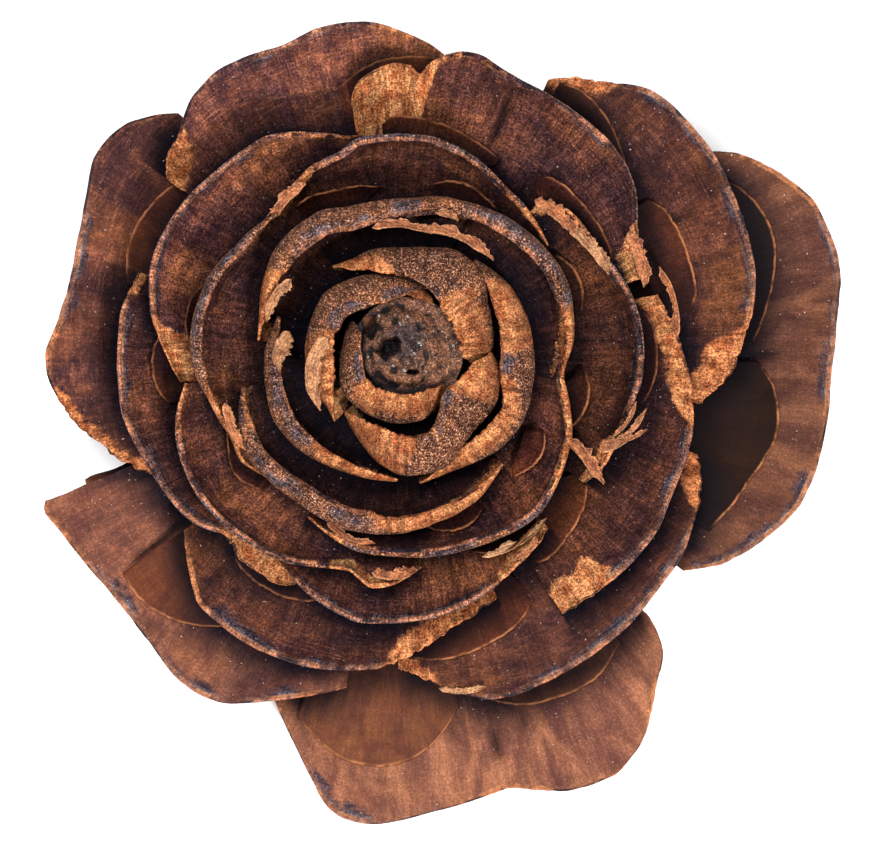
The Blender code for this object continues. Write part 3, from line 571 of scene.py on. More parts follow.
def make_wing(wing, material):
    form = FORMS[wing.order]
    seed = 900 + wing.order * 7 + len(wing.name)
    azimuth = (wing.edge[0][0] + wing.edge[-1][0]) / 2.0
    half = (wing.edge[-1][0] - wing.edge[0][0]) / 2.0
    side = edge_spaced(20, 0.04)
    a, b = np.meshgrid(np.concatenate([-side[:0:-1], side]), edge_spaced(22, 0.05))
    breadth = WING_ROOT_BREADTH + (1.0 - WING_ROOT_BREADTH) * smooth_step(0.0, WING_FULL_BREADTH_END, b)
    u = (azimuth + a * half * breadth - form.azimuth) / form.half
    clear = WING_LIFT + WING_LIFT_STEP * wing.order

    def lifted(v, extra):
        return form.point(u, v) + form.normal(u, v) * (form.thickness(v) / 2.0 + clear + extra)[..., None]

    # Halving finds how far along its scale the wing reaches the edge that the outline gives it
    worn = 0.2 * np.abs(rough_noise(a * 6.0, np.zeros_like(a), seed))
    edge = rounded_curve(wing.edge, azimuth + half * a, WING_OUTLINE_BLUR) - worn
    low = np.full_like(u, WING_INNER_END)
    high = np.ones_like(u)
    for _ in range(WING_EDGE_HALVINGS):
        middle = (low + high) / 2.0
        place = lifted(middle, np.full_like(u, wing.stand))
        inside = np.hypot(place[..., 0], place[..., 1]) < edge
        low = np.where(inside, middle, low)
        high = np.where(inside, high, middle)
    v = WING_INNER_END + (low - WING_INNER_END) * b
    wave = 0.14 * rough_noise(a * 1.5, b * 3.0, seed + 3, 2) * b
    middle = lifted(v, (wing.stand - 0.2) * b * b + wave)
    normal = form.normal(u, v)
    width = math.radians(half) * max(radius for _, radius in wing.edge)
    length = np.linalg.norm(middle[-1] - middle[0], axis=-1)[None, :]
    from_tip = (1.0 - b) * length
    rounding = edge_rounding(WING_THICKNESS, from_tip, (1.0 - np.abs(a)) * width, b * length)
    ridges = 0.03 * rough_noise(a * 8.0, b * 1.5, seed + 5, 3)
    upper = middle + normal * ((WING_THICKNESS * 0.5 + ridges) * rounding)[..., None]
    lower = middle - normal * ((WING_THICKNESS * 0.5 - ridges) * rounding)[..., None]

    line = smooth_step(0.3, 0.14, from_tip) * smooth_step(0.98, 0.75, np.abs(a))
    planar = np.hypot(middle[..., 0], middle[..., 1])
    # Painted shade where the wing lies under the scales above
    cleft_shade = 1.0 - smooth_step(0.0, 5.0, planar - cover_radius(wing.order, form.azimuth + form.half * u))
    shade = SHADES[wing.order] / 2.0 * DARK_WINGS.get(wing.order, WING_SHADE)
    masks = stacked(0.0, 0.0, cleft_shade, line), stacked(0.0, 1.0 - wing.order / LAST_ORDER, b, shade)
    name = "wing_{:02d}_{}".format(wing.order, wing.name)
    uv = np.stack([a * width, b * length], axis=-1)
    item = closed_sheet(name, material, upper, lower, uv, masks, masks)
    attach(item, "root")
    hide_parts("seed_" + name)


# Skin that has torn loose along an edge and stands off it.
# order: the scale that it hangs on. start and end: (azimuth, radius). rise: how far the end stands up.
# pale: how much of it is the light inner side.
Peel = namedtuple("Peel", "order start end breadth rise pale")

PEELS = [
    Peel(24, (170.0, 12.6), (189.0, 13.8), 1.7, 0.3, 0.7),
    Peel(22, (147.0, 14.6), (168.0, 15.4), 1.1, 0.2, 0.7),
    Peel(27, (169.0, 8.5), (216.0, 11.2), 1.8, 0.1, 0.6),
    Peel(22, (104.0, 14.0), (76.0, 13.3), 1.0, -0.2, 0.2),
    Peel(20, (82.0, 13.7), (45.0, 14.1), 1.3, -0.3, 0.2),
    Peel(20, (92.0, 16.2), (67.0, 15.6), 1.4, 0.2, 0.4),
    Peel(15, (49.0, 22.2), (34.0, 23.0), 1.7, 0.6, 0.1),
    Peel(15, (37.0, 22.9), (20.5, 24.2), 1.5, 0.5, 0.8),
    Peel(15, (-27.5, 20.8), (-33.5, 26.6), 1.6, 0.4, 0.1),
    Peel(15, (-27.0, 24.6), (-13.0, 27.7), 0.8, 1.0, 0.3),
    Peel(15, (-25.0, 24.2), (-17.5, 28.4), 0.6, 1.6, 0.1),
    Peel(15, (-26.0, 24.8), (-19.0, 26.8), 0.9, 0.8, 0.5),
    Peel(15, (-22.0, 25.0), (-12.0, 26.4), 0.5, 1.3, 0.2),
    Peel(13, (291.0, 24.3), (311.0, 24.4), 0.9, 0.2, 1.2),
    Peel(10, (3.0, 30.4), (18.5, 30.0), 0.9, 0.5, 0.0),
    Peel(5, (276.0, 37.6), (284.0, 38.4), 0.7, 0.1, 1.0),
    Peel(12, (28.0, 28.2), (15.0, 27.6), 1.6, 0.6, 0.1),
    Peel(13, (306.0, 25.2), (298.0, 26.0), 0.7, 0.5, 0.2),
    Peel(16, (262.0, 24.6), (274.0, 24.2), 1.2, 0.5, 0.1),
    Peel(19, (196.0, 20.4), (214.0, 20.2), 1.1, 0.2, 0.1),
    Peel(17, (134.0, 20.6), (120.0, 21.3), 1.4, 0.5, 0.1),
    Peel(18, (246.0, 20.6), (262.0, 21.4), 0.8, 0.3, 0.1),
]
PEEL_THICKNESS = 0.2
PEEL_EDGE = 0.15


def make_peel(number, peel, material):
    """A jagged curling strip from start to end, at the height of its scale's edge."""
    form = FORMS[peel.order]
    seed = 1300 + number * 11
    columns = 13
    t, side = np.meshgrid(edge_spaced(40, 0.08), np.linspace(-1.0, 1.0, columns), indexing="ij")
    azimuth = peel.start[0] + (peel.end[0] - peel.start[0]) * t
    radius = peel.start[1] + (peel.end[1] - peel.start[1]) * t + 0.35 * np.sin(math.pi * t)
    x = radius * np.cos(np.radians(azimuth))
    y = radius * np.sin(np.radians(azimuth))
    along = np.gradient(np.stack([x, y], axis=-1), axis=0)
    along = along / np.linalg.norm(along, axis=-1, keepdims=True)
    torn = 0.75 * rough_noise(t * 6.0, side * 0.6, seed)
    torn = torn + 0.4 * rough_noise(t * 24.0, side * 0.5, seed + 4, 2)
    loose = smooth_step(-0.04, 0.16, t) * smooth_step(1.06, 0.82, t) * np.maximum(1.0 + 1.3 * torn, 0.08)
    joined = smooth_step(-0.02, 0.1, t) * smooth_step(1.02, 0.7, t) * (0.75 + 0.2 * torn)
    half = peel.breadth / 2.0 * (np.where(side > 0.0, loose, joined) + 0.03)
    across = side * half
    x = x - along[..., 1] * across
    y = y + along[..., 0] * across
    turns = round((form.azimuth - (peel.start[0] + peel.end[0]) / 2.0) / 360.0) * 360.0
    u = np.clip((azimuth + turns - form.azimuth) / form.half, -1.0, 1.0)
    edge_height = form.point(u, np.full_like(u, 0.97))[..., 2]
    curl = 0.35 * side * side * smooth_step(0.0, 0.5, t) + 0.25 * rough_noise(t * 5.0, side, seed + 8, 3)
    height = np.minimum(edge_height + 0.35 + peel.rise * t + curl, PEEL_CEILING)
    from_side = (1.0 - np.abs(side)) * half
    spine = columns // 2
    from_end = np.minimum(t, 1.0 - t) * math.hypot(x[-1, spine] - x[0, spine], y[-1, spine] - y[0, spine])
    middle = np.stack([x, y, height], axis=-1)
    lift = np.zeros_like(middle)
    lift[..., 2] = PEEL_THICKNESS / 2.0 * edge_rounding(PEEL_EDGE, from_side, from_end)
    rim = np.minimum(from_side, from_end) / RIM_REACH
    masks = stacked(1.0, 0.0, 0.0, rim), stacked(np.full_like(t, peel.pale), 0.0, 0.0, 0.5)
    uv = np.stack([across, t * 6.0], axis=-1)
    name = "peel_{:02d}".format(number)
    item = closed_sheet(name, material, middle + lift, middle - lift, uv, masks, masks)
    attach(item, "root")
    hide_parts("cone")


# Woody axis as (radius, height), from the broken foot up to the rough disc in the middle of the bud
AXIS_OUTLINE = [(0.0, 0.0), (6.6, 0.0), (7.0, 0.5), (7.0, 1.5), (6.2, 2.6), (5.2, 4.4), (3.9, 18.0),
                (2.7, 28.0), (4.2, 30.8), (5.2, 31.8)]
TIP_RADIUS = 5.2
TIP_HEIGHT = 34.3
# Pits as (x, y, half length, half breadth), rings of old resin and drops of it as (x, y, radius)
TIP_PITS = [(-1.5, 0.5, 1.3, 1.1), (-3.5, 2.8, 0.8, 1.1), (1.2, -2.3, 0.7, 0.3)]
TIP_RINGS = [(0.5, -1.2, 0.6), (1.65, 0.5, 0.42)]
RESIN_DROPS = [(1.9, 0.8, 0.42), (0.55, 3.8, 0.3), (0.2, -2.1, 0.3), (-0.3, 3.0, 0.34), (5.6, 0.6, 0.3),
               (1.3, -0.2, 0.28), (-1.0, -1.6, 0.26), (0.5, -1.2, 0.22), (2.6, -2.2, 0.24),
               (-2.6, 3.9, 0.25), (3.4, 2.2, 0.2), (-3.8, -0.6, 0.22)]
# The innermost scales, whose lips close round the tip
CLOSED_ORDERS = (25, 27, 28, 29)


def tip_relief(x, y):
    """Height of the rough disc in the bud, with its share of pit, its crust relief and its resin ring."""
    radius = np.hypot(x, y)
    bent = np.arctan2(y, x) + 0.7 * rough_noise(x / 2.2, y / 2.2, 41, 3)
    winding = np.sin(2.0 * math.pi * (radius / 1.7) - bent + 0.8)
    crust = 0.13 * winding * smooth_step(0.5, 1.6, radius) + 0.5 * rough_noise(x / 0.9, y / 0.9, 47, 5)
    pit = np.zeros_like(x)
    for pit_x, pit_y, across, along in TIP_PITS:
        gap = np.hypot((x - pit_x) / across, (y - pit_y) / along)
        pit = np.maximum(pit, smooth_step(1.25, 0.6, gap + 0.5 * rough_noise(x / 0.7, y / 0.7, 61, 3)))
    ring = np.zeros_like(x)
    for ring_x, ring_y, size in TIP_RINGS:
        ring_gap = np.hypot(x - ring_x, (y - ring_y) * 1.2)
        ring = np.maximum(ring, np.exp(-((ring_gap - size) / 0.15) ** 2) * 0.45)
    height = TIP_HEIGHT - 1.9 * smooth_step(2.6, 5.6, radius) + crust + ring - 2.6 * pit
    return height, pit, crust, ring


def make_resin():
    """Dried drops of resin in the middle of the bud."""
    around = 18
    rings = 10
    tilt = math.pi * (0.02 + 0.96 * np.arange(rings)[:, None] / (rings - 1))
    turn = 2.0 * math.pi * np.arange(around)[None, :] / around
    points = []
    faces = []
    for number, (drop_x, drop_y, size) in enumerate(RESIN_DROPS):
        ground = tip_relief(np.array([drop_x]), np.array([drop_y]))[0]
        uneven = 1.0 + 0.18 * np.sin(2.0 * turn + drop_x * 5.0)
        height = np.minimum(ground + 0.55 * size * np.cos(tilt) + 0.05, TIP_CEILING)
        drop = stacked(drop_x + size * uneven * np.sin(tilt) * np.cos(turn),
                       drop_y + size * np.sin(tilt) * np.sin(turn), height)
        points.append(drop.reshape(-1, 3))
        faces += ring_faces(rings, around, number * rings * around, downward=True)
    mesh = bpy.data.meshes.new("resin")
    mesh.from_pydata((np.concatenate(points) * MM).tolist(), [], faces)
    mesh.shade_smooth()
    mesh.materials.append(old_resin())
    item = add_object("resin", mesh)
    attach(item, "root")
    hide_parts("cone")


def make_axis(material):
    around = 180
    outline = np.array(AXIS_OUTLINE)
    reach = np.concatenate([[0.0], np.cumsum(np.hypot(*np.diff(outline, axis=0).T))])
    places = np.linspace(0.02, reach[-1], 90)
    tip_radii = np.linspace(TIP_RADIUS, 0.08, 70)[1:]
    radii = np.concatenate([np.interp(places, reach, outline[:, 0]), tip_radii])
    heights = np.interp(places, reach, outline[:, 1])
    heights = np.concatenate([heights, np.full(len(tip_radii), heights[-1])])
    radius, turn = np.meshgrid(radii, np.linspace(0.0, 2.0 * math.pi, around + 1)[:-1], indexing="ij")
    height = np.repeat(heights[:, None], around, axis=1)
    on_top = np.arange(len(radii))[:, None] >= len(places)
    oval = (0.2 + 0.1 * np.cos(turn + math.radians(20.0))) * smooth_step(3.5, 5.2, radius) * (height > 30.0)
    radius = radius * (1.0 + oval)
    bark = 0.28 * rough_noise(turn * 5.0, height / 3.0, 31) * smooth_step(0.0, 1.5, height)
    radius = np.where(on_top, radius, radius + bark)
    x = radius * np.cos(turn)
    y = radius * np.sin(turn)
    top_height, pit, crust, ring = tip_relief(x, y)
    height = np.minimum(np.where(on_top, top_height, height), TIP_CEILING)
    mesh = bpy.data.meshes.new("axis")
    points = np.stack([x, y, height], axis=-1).reshape(-1, 3)
    mesh.from_pydata((points * MM).tolist(), [], ring_faces(len(radii), around))

    # Painted shade lies in the pits, in the low crust and along the lips that close round the tip, more of
    # it on the left and lower side; the resin colour also reaches faintly over the left side
    azimuth = np.degrees(np.arctan2(y, x))
    gap = np.full_like(x, 9.0)
    for order in CLOSED_ORDERS:
        form = FORMS[order]
        for whole in (0.0, 360.0):
            inside = (azimuth + whole >= form.low) & (azimuth + whole <= form.high)
            nearest = np.clip(azimuth + whole, form.low, form.high)
            margin = rounded_curve(form.scale.margin, nearest, BUD_OUTLINE_BLUR)
            gap = np.where(inside, np.minimum(gap, margin - np.hypot(x, y)), gap)
    gap = gap + 0.3 * rough_noise(x / 0.8, y / 0.8, 67, 3)
    left = smooth_step(0.5, -3.5, x + 1.2 * rough_noise(x / 1.6, y / 1.6, 57))
    painted_shade = np.maximum(pit, smooth_step(-0.12 + 0.16 * left, -0.3 + 0.16 * left, crust))
    shut = 0.35 + 0.6 * smooth_step(1.5, -1.5, x + 0.8 * y)
    painted_shade = np.maximum(painted_shade, shut * smooth_step(0.6, 0.15, gap)) * on_top
    centre = smooth_step(2.8, 1.2, np.hypot(x - 0.3, y - 1.2) + 0.8 * rough_noise(x / 1.3, y / 1.3, 53))
    resin = np.clip(ring * 1.6 + 0.8 * centre + 0.2 * left, 0.0, 1.0)
    write_mask(mesh, "wear", stacked(painted_shade, resin * on_top, on_top * 1.0, 1.0))
    mesh.shade_smooth()
    mesh.materials.append(material)
    item = add_object("axis", mesh)
    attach(item, "root")
    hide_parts("cone")


# Brightness of a white face in the light of this scene
LIGHT_LEVEL = 2.3
WHITE = (1.0, 1.0, 1.0, 1.0)

# Noises in space: scale in cells a metre, detail and roughness
WARMTH = (95.0, 3.0, 0.55)
BLOTCHES = (170.0, 5.0, 0.62)
PATCHES = (620.0, 6.0, 0.7)
SPECKLE = (4300.0, 2.0, 0.8)
DUST = (4600.0, 0.0, 0.5)
TIP_PATCHES = (900.0, 6.0, 0.7)
TIP_SPECKLE = (4300.0, 3.0, 0.85)
RESIN_CLOUDS = (1500.0, 4.0, 0.6)


class Nodes:
    """Short calls for building a material's node tree."""

    def __init__(self, name):
        self.material = bpy.data.materials.new(name)
        self.material.use_nodes = True
        self.tree = self.material.node_tree
        self.shader = self.tree.nodes["Principled BSDF"]

    def add(self, kind, **values):
        """New node with values on its inputs, each named in small letters with _ for a space."""
        node = self.tree.nodes.new(kind)
        for name, value in values.items():
            self.put(node.inputs[name.replace("_", " ").title()], value)
        return node

    def put(self, socket, value):
        if isinstance(value, bpy.types.NodeSocket):
            self.tree.links.new(value, socket)
        else:
            socket.default_value = value

    def place(self):
        return self.add("ShaderNodeTexCoord").outputs["Object"]

    def mask(self, name):
        node = self.add("ShaderNodeAttribute")
        node.attribute_name = name
        parts = self.add("ShaderNodeSeparateColor", color=node.outputs["Color"])
        return parts.outputs["Red"], parts.outputs["Green"], parts.outputs["Blue"], node.outputs["Alpha"]

    def noise(self, vector, scale, detail, roughness, distortion=0.0):
        node = self.add("ShaderNodeTexNoise", vector=vector, scale=scale, detail=detail,
                        roughness=roughness, distortion=distortion)
        return node.outputs["Fac"]

    def stretched(self, vector, factors, detail, roughness, distortion=0.0):
        """Noise with these numbers of cells a unit along the three directions."""
        wide = self.add("ShaderNodeMapping", vector=vector, scale=factors)
        return self.noise(wide.outputs["Vector"], 1.0, detail, roughness, distortion)

    def grain(self, across, along, detail, roughness, distortion):
        """Noise in the sheet's own directions, in cells a millimetre."""
        node = self.add("ShaderNodeUVMap")
        node.uv_map = "grain"
        return self.stretched(node.outputs["UV"], (across, along, 1.0), detail, roughness, distortion)

    def math(self, operation, one, two):
        node = self.add("ShaderNodeMath")
        node.operation = operation
        self.put(node.inputs[0], one)
        self.put(node.inputs[1], two)
        return node.outputs["Value"]

    def times(self, one, two):
        return self.math("MULTIPLY", one, two)

    def ramp(self, value, low, high, out_low=0.0, out_high=1.0):
        node = self.add("ShaderNodeMapRange", value=value, from_min=low, from_max=high,
                        to_min=out_low, to_max=out_high)
        node.interpolation_type = "SMOOTHSTEP"
        return node.outputs["Result"]

    def mix(self, factor, one, two, blend="MIX"):
        node = self.tree.nodes.new("ShaderNodeMix")
        node.data_type = "RGBA"
        node.blend_type = blend
        self.put(node.inputs["Factor"], factor)
        self.put(node.inputs["A"], one)
        self.put(node.inputs["B"], two)
        return node.outputs["Result"]

    def tint(self, one, two):
        return self.mix(1.0, one, two, "MULTIPLY")

    def surface(self, base, roughness, specular, *bumps):
        """Finishes the shader. Each bump is a height and the distance in millimetres that it stands for."""
        self.put(self.shader.inputs["Base Color"], base)
        self.put(self.shader.inputs["Roughness"], roughness)
        self.shader.inputs["Specular IOR Level"].default_value = specular
        chain = [self.add("ShaderNodeBump", height=height, distance=distance * MM, strength=1.0)
                 for height, distance in bumps]
        for inner, outer in zip(chain, chain[1:] + [self.shader]):
            self.put(outer.inputs["Normal"], inner.outputs["Normal"])
        return self.material


def colour(red, green, blue):
    """Surface colour that shows as these values, 0 to 255, in the light of this scene."""
    parts = []
    for value in (red, green, blue):
        value = value / 255.0
        linear = value / 12.92 if value <= 0.04045 else ((value + 0.055) / 1.055) ** 2.4
        parts.append(linear / LIGHT_LEVEL)
    return (*parts, 1.0)


def scale_wood():
    """Scales. wear: bare wood, weathering, painted cleft shade, way in. tone: rough skin, lowness, painted
    crease shade, shade, which is partly painted.
    """
    n = Nodes("scale_wood")
    bare, grey, cleft_shade, rim = n.mask("wear")
    felt, low, crease_shade, shade = n.mask("tone")
    place = n.place()
    edge = n.times(rim, RIM_REACH)
    fibres = n.grain(3.8, 0.5, 8.0, 0.7, 0.9)
    streaks = n.grain(0.9, 0.1, 4.0, 0.6, 0.9)
    bands = n.grain(0.22, 1.3, 6.0, 0.68, 1.6)
    folds = n.grain(0.17, 0.09, 4.0, 0.55, 1.2)
    blotches = n.noise(place, *BLOTCHES)
    warmth = n.noise(place, *WARMTH)
    patches = n.noise(place, *PATCHES)
    speckle = n.noise(place, *SPECKLE)
    dust = n.noise(place, *DUST)
    mottle = n.ramp(patches, 0.4, 0.6)
    rough = n.ramp(low, 0.55, 0.95, 1.0, 0.36)

    # Inner face, calmer and broader in its pattern on the low scales
    face = n.mix(n.ramp(blotches, 0.38, 0.6), colour(92, 54, 52), colour(152, 89, 66))
    face = n.mix(n.ramp(warmth, 0.5, 0.66, 0.0, 0.75), face, colour(182, 110, 68))
    face = n.mix(n.ramp(patches, 0.38, 0.6, 0.45, 1.0), colour(72, 42, 48), face)
    face = n.mix(n.ramp(bands, 0.5, 0.66, 0.0, 0.4), face, colour(188, 118, 80))
    # Dark blue patches laid at random over the faces, a painted shade
    shade_patches = n.times(n.ramp(warmth, 0.5, 0.38), rough)
    face = n.mix(n.times(shade_patches, 0.45), face, colour(44, 33, 50))
    broad = n.mix(n.ramp(folds, 0.32, 0.68), colour(134, 82, 70), colour(180, 117, 84))
    face = n.mix(n.ramp(low, 0.86, 0.95, 0.0, 0.8), face, broad)
    face = n.tint(face, n.ramp(folds, 0.34, 0.66, 0.82, 1.16))
    face = n.tint(face, n.times(shade, 2.0))

    # Rough outer skin of the bud and its torn wood, darker away from the rim as a painted shade on the
    # steep outer slope; the torn wood is brighter on steep scales as painted light
    skin = n.mix(mottle, colour(104, 58, 42), colour(186, 110, 68))
    skin = n.mix(n.ramp(edge, 1.5, 3.6, 0.0, 0.65), skin, colour(86, 52, 50))
    skin = n.mix(n.ramp(speckle, 0.52, 0.68), skin, colour(252, 192, 146))
    result = n.mix(n.times(felt, n.ramp(patches, 0.3, 0.5, 0.7, 1.0)), face, skin)
    wood = n.mix(mottle, colour(160, 86, 50), colour(242, 148, 92))
    steep = n.times(n.ramp(low, 0.9, 0.35), n.math("SUBTRACT", 1.0, felt))
    wood = n.mix(steep, wood, n.mix(mottle, colour(222, 126, 76), colour(255, 190, 128)))
    wood = n.mix(n.times(felt, n.ramp(edge, 1.6, 3.8, 0.0, 0.6)), wood, colour(112, 64, 50))
    torn = n.math("ADD", bare, n.times(n.math("SUBTRACT", patches, 0.5), 1.4))
    torn = n.math("ADD", torn, n.times(n.math("SUBTRACT", fibres, 0.5), 0.8))
    result = n.mix(n.ramp(torn, 0.3, 0.7), result, wood)

    # Weathering: dark film, blue grey where it lies near the rim, with painted glints there
    film = n.math("ADD", n.times(bands, 0.7), n.times(speckle, 0.3))
    ash = n.mix(n.ramp(film, 0.42, 0.6), colour(26, 26, 44), colour(82, 72, 82))
    grey_and_glints = n.mix(n.ramp(film, 0.42, 0.58), colour(54, 60, 80), colour(150, 150, 162))
    near = n.math("MAXIMUM", n.ramp(edge, 1.1, 0.5, 0.0, 0.5), n.times(felt, 0.45))
    weather = n.math("ADD", grey, n.times(n.math("SUBTRACT", blotches, 0.56), 4.0))
    weather = n.times(n.ramp(weather, 0.35, 0.95), n.ramp(grey, 0.02, 0.3))
    weather = n.times(weather, n.ramp(patches, 0.36, 0.56, 0.3, 0.9))
    result = n.mix(weather, result, n.mix(near, ash, grey_and_glints))

    # Pale line inside the rim, partly the scale's own pale edge and partly a painted highlight where the
    # edge catches the light; painted shade in the clefts and creases; and the worn rind on the rim itself,
    # whose dark places are partly painted shade on the rim's outer side
    # The pale line is partly the scale's pale edge and partly a painted highlight on the edge
    pale = n.times(n.ramp(edge, 0.7, 0.4), n.ramp(edge, 0.14, 0.3))
    tan = n.mix(mottle, colour(128, 80, 54), colour(226, 150, 98))
    result = n.mix(n.times(pale, n.ramp(blotches, 0.4, 0.58, 0.1, 0.8)), result, tan)
    # Painted shade: near black blue in the clefts below the scales above, and in the creases
    painted_shade = n.mix(n.ramp(patches, 0.46, 0.66), colour(5, 8, 24), colour(22, 16, 28))
    result = n.mix(n.times(cleft_shade, n.ramp(blotches, 0.3, 0.6, 0.86, 1.0)), result, painted_shade)
    result = n.mix(n.times(crease_shade, 0.85), result, colour(24, 14, 22))
    rind = n.mix(n.ramp(blotches, 0.44, 0.52), colour(30, 26, 36), colour(232, 144, 94))
    rind = n.mix(n.ramp(grey, 0.3, 0.8, 0.0, 0.15), rind, colour(96, 96, 116))
    result = n.mix(n.times(n.ramp(edge, 0.24, 0.12), n.ramp(patches, 0.4, 0.54, 0.15, 0.9)), result, rind)

    # Grain over everything, and specks of dust
    grit = n.times(n.ramp(speckle, 0.4, 0.62, 0.44, 1.68), n.ramp(fibres, 0.36, 0.64, 0.62, 1.4))
    grit = n.times(grit, n.ramp(bands, 0.36, 0.64, 0.88, 1.14))
    grit = n.times(grit, n.ramp(streaks, 0.36, 0.64, 0.72, 1.32))
    result = n.tint(result, n.mix(n.math("MAXIMUM", rough, bare), WHITE, grit))
    result = n.mix(n.ramp(dust, 0.83, 0.86, 0.0, 0.9), result, colour(235, 215, 205))
    sheen = n.ramp(n.times(grey, patches), 0.1, 0.6, 0.62, 0.45)
    return n.surface(result, sheen, 0.05, (n.times(fibres, rough), 0.3), (n.times(bands, rough), 0.1),
                     (n.times(speckle, rough), 0.12))


def torn_skin():
    """Peels. wear: way in from the edge, in its last value. tone: share of pale inner side, first."""
    n = Nodes("torn_skin")
    rim = n.mask("wear")[3]
    pale = n.mask("tone")[0]
    place = n.place()
    fibres = n.grain(5.0, 0.8, 8.0, 0.72, 0.5)
    patches = n.noise(place, *PATCHES)
    speckle = n.noise(place, *SPECKLE)
    skin = n.mix(n.ramp(patches, 0.4, 0.6), colour(150, 78, 46), colour(226, 136, 84))
    skin = n.mix(n.times(pale, n.ramp(patches, 0.36, 0.54, 0.3, 0.85)), skin, colour(232, 176, 126))
    skin = n.mix(n.ramp(rim, 0.045, 0.02, 0.0, 0.6), skin, colour(236, 168, 120))
    grit = n.times(n.ramp(speckle, 0.4, 0.62, 0.6, 1.45), n.ramp(fibres, 0.36, 0.64, 0.5, 1.5))
    return n.surface(n.tint(skin, grit), n.ramp(fibres, 0.3, 0.7, 0.5, 0.7), 0.25, (fibres, 0.25),
                     (speckle, 0.1))


def wing_paper():
    """Seed wings. wear: painted cleft shade and light edge line, last. tone: lowness, way to the tip and
    shade, last.
    """
    n = Nodes("wing_paper")
    cleft_shade, line = n.mask("wear")[2:]
    low = n.mask("tone")[1]
    shade = n.mask("tone")[3]
    place = n.place()
    fibres = n.grain(3.0, 0.25, 8.0, 0.7, 0.5)
    bands = n.grain(0.2, 1.4, 7.0, 0.7, 1.0)
    folds = n.grain(0.3, 0.16, 4.0, 0.55, 0.8)
    blotches = n.noise(place, *BLOTCHES)
    warmth = n.noise(place, *WARMTH)
    patches = n.noise(place, *PATCHES)
    speckle = n.noise(place, *SPECKLE)
    rough = n.ramp(low, 0.55, 0.95, 1.0, 0.35)
    face = n.mix(n.ramp(blotches, 0.38, 0.6), colour(92, 46, 40), colour(148, 78, 52))
    face = n.mix(n.ramp(warmth, 0.5, 0.66, 0.0, 0.7), face, colour(172, 98, 56))
    broad = n.mix(n.ramp(folds, 0.32, 0.68), colour(116, 66, 54), colour(164, 102, 66))
    face = n.mix(n.ramp(low, 0.86, 0.96, 0.0, 0.75), face, broad)
    face = n.tint(face, n.times(shade, 2.0))
    # Painted shade where the wing lies close under the scales above
    face = n.mix(n.times(cleft_shade, n.ramp(blotches, 0.3, 0.6, 0.7, 1.0)), face, colour(18, 10, 18))
    grit = n.times(n.ramp(speckle, 0.4, 0.62, 0.55, 1.5), n.ramp(fibres, 0.36, 0.64, 0.65, 1.38))
    grit = n.times(grit, n.ramp(bands, 0.36, 0.64, 0.8, 1.2))
    face = n.tint(face, n.mix(rough, WHITE, grit))
    edge = n.times(line, n.ramp(patches, 0.38, 0.58, 0.15, 0.9))
    face = n.mix(n.times(edge, n.ramp(cleft_shade, 0.2, 0.9, 1.0, 0.4)), face, colour(216, 138, 90))
    return n.surface(face, n.ramp(fibres, 0.3, 0.7, 0.55, 0.7), 0.05, (n.times(fibres, rough), 0.2),
                     (n.times(speckle, rough), 0.1))


def bud_tip():
    """Axis and tip. wear: painted shade in the pits, crevices and along the lips, resin, share of tip
    beside bark.
    """
    n = Nodes("bud_tip")
    painted_shade, resin, tip, _ = n.mask("wear")
    place = n.place()
    fibres = n.stretched(place, (900.0, 900.0, 90.0), 6.0, 0.7)
    patches = n.noise(place, *TIP_PATCHES)
    speckle = n.noise(place, *TIP_SPECKLE)
    bark = n.mix(n.ramp(fibres, 0.36, 0.64), colour(50, 28, 24), colour(122, 72, 46))
    crust = n.mix(n.ramp(patches, 0.4, 0.6), colour(78, 50, 42), colour(146, 94, 66))
    crust = n.mix(n.ramp(speckle, 0.56, 0.7), crust, colour(226, 164, 122))
    result = n.mix(tip, bark, crust)
    result = n.mix(n.times(resin, n.ramp(patches, 0.35, 0.6, 0.5, 0.95)), result, colour(38, 44, 56))
    result = n.mix(n.times(painted_shade, 0.95), result, colour(6, 8, 18))
    result = n.tint(result, n.ramp(speckle, 0.4, 0.62, 0.45, 1.75))
    return n.surface(result, n.ramp(n.times(resin, patches), 0.1, 0.4, 0.6, 0.12), 0.2, (patches, 0.25),
                     (speckle, 0.1))


def old_resin():
    n = Nodes("resin")
    clouds = n.noise(n.place(), *RESIN_CLOUDS)
    base = n.mix(n.ramp(clouds, 0.4, 0.6), colour(46, 40, 44), colour(120, 100, 86))
    return n.surface(base, n.ramp(clouds, 0.35, 0.65, 0.04, 0.2), 0.5)


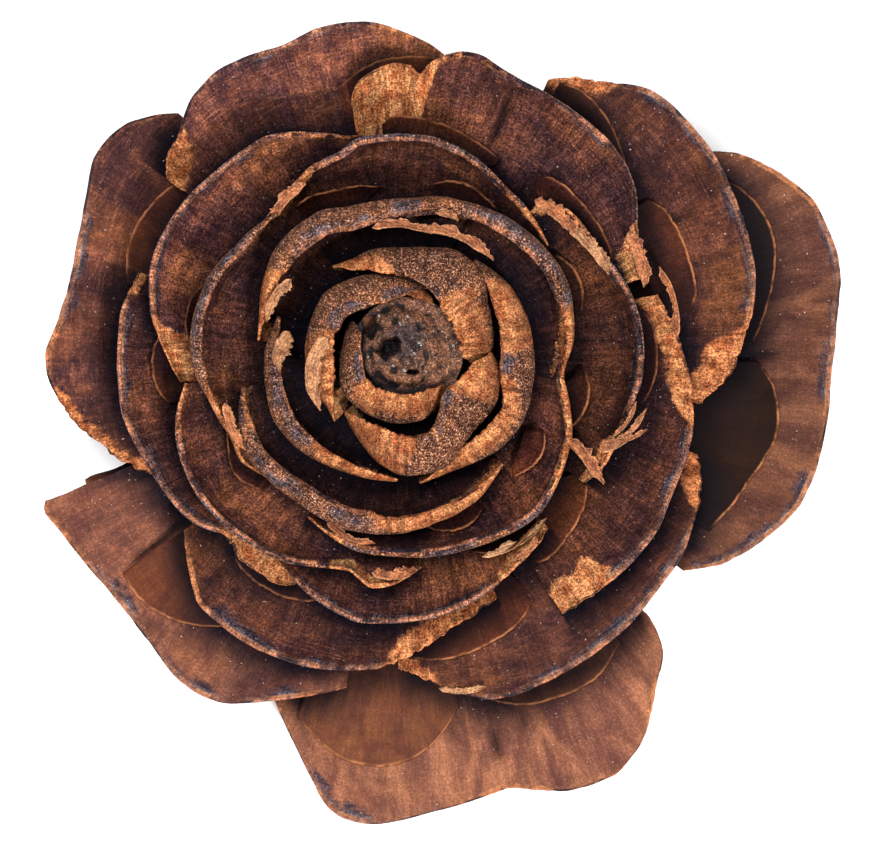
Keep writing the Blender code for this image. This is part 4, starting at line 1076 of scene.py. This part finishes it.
def make_light(name, place, size, power, tint):
    light = bpy.data.lights.new(name, "AREA")
    light.shape = "DISK"
    light.size = size
    light.energy = power
    light.color = tint
    item = add_object(name, light)
    item.location = place
    item.rotation_euler = (-Vector(place)).to_track_quat("-Z", "Y").to_euler()


def make_floor():
    reach = 3.0
    corners = [(-reach, -reach, 0), (reach, -reach, 0), (reach, reach, 0), (-reach, reach, 0)]
    mesh = bpy.data.meshes.new("floor")
    mesh.from_pydata(corners, [], [(0, 1, 2, 3)])
    material = bpy.data.materials.new("white_floor")
    material.use_nodes = True
    shader = material.node_tree.nodes["Principled BSDF"]
    shader.inputs["Base Color"].default_value = (0.93, 0.93, 0.93, 1.0)
    shader.inputs["Roughness"].default_value = 0.9
    mesh.materials.append(material)
    add_object("floor", mesh)


def make_camera():
    """Straight down on the cone. One millimetre is nine pixels of the 870 wide picture."""
    lens = 600.0
    sensor = 36.0
    width = 870 / 9.0 * MM
    middle_x = 0.00356
    middle_y = -0.00794
    reference_height = 0.015
    camera = bpy.data.cameras.new("camera")
    camera.lens = lens
    camera.sensor_width = sensor
    camera.clip_start = 0.1
    camera.clip_end = 20.0
    item = add_object("camera", camera)
    item.location = (middle_x, middle_y, reference_height + width * lens / sensor)
    bpy.context.scene.camera = item


def make_world():
    world = bpy.data.worlds.new("soft studio")
    world.use_nodes = True
    background = world.node_tree.nodes["Background"]
    background.inputs["Color"].default_value = WHITE
    background.inputs["Strength"].default_value = 0.45
    bpy.context.scene.world = world
    bpy.context.scene.view_settings.view_transform = "Standard"


def main():
    make_camera()
    make_world()
    make_floor()
    make_light("key", (0.36, -0.64, 1.14), 0.25, 28.0, (1.0, 0.98, 0.95))
    make_light("fill", (-0.32, 0.3, 1.45), 0.8, 31.0, (0.97, 0.98, 1.0))
    wood = scale_wood()
    paper = wing_paper()
    for scale in SCALES:
        make_scale(scale, wood)
    for wing in WINGS:
        make_wing(wing, paper)
    skin = torn_skin()
    for number, peel in enumerate(PEELS):
        make_peel(number, peel, skin)
    make_axis(bud_tip())
    make_resin()


main()
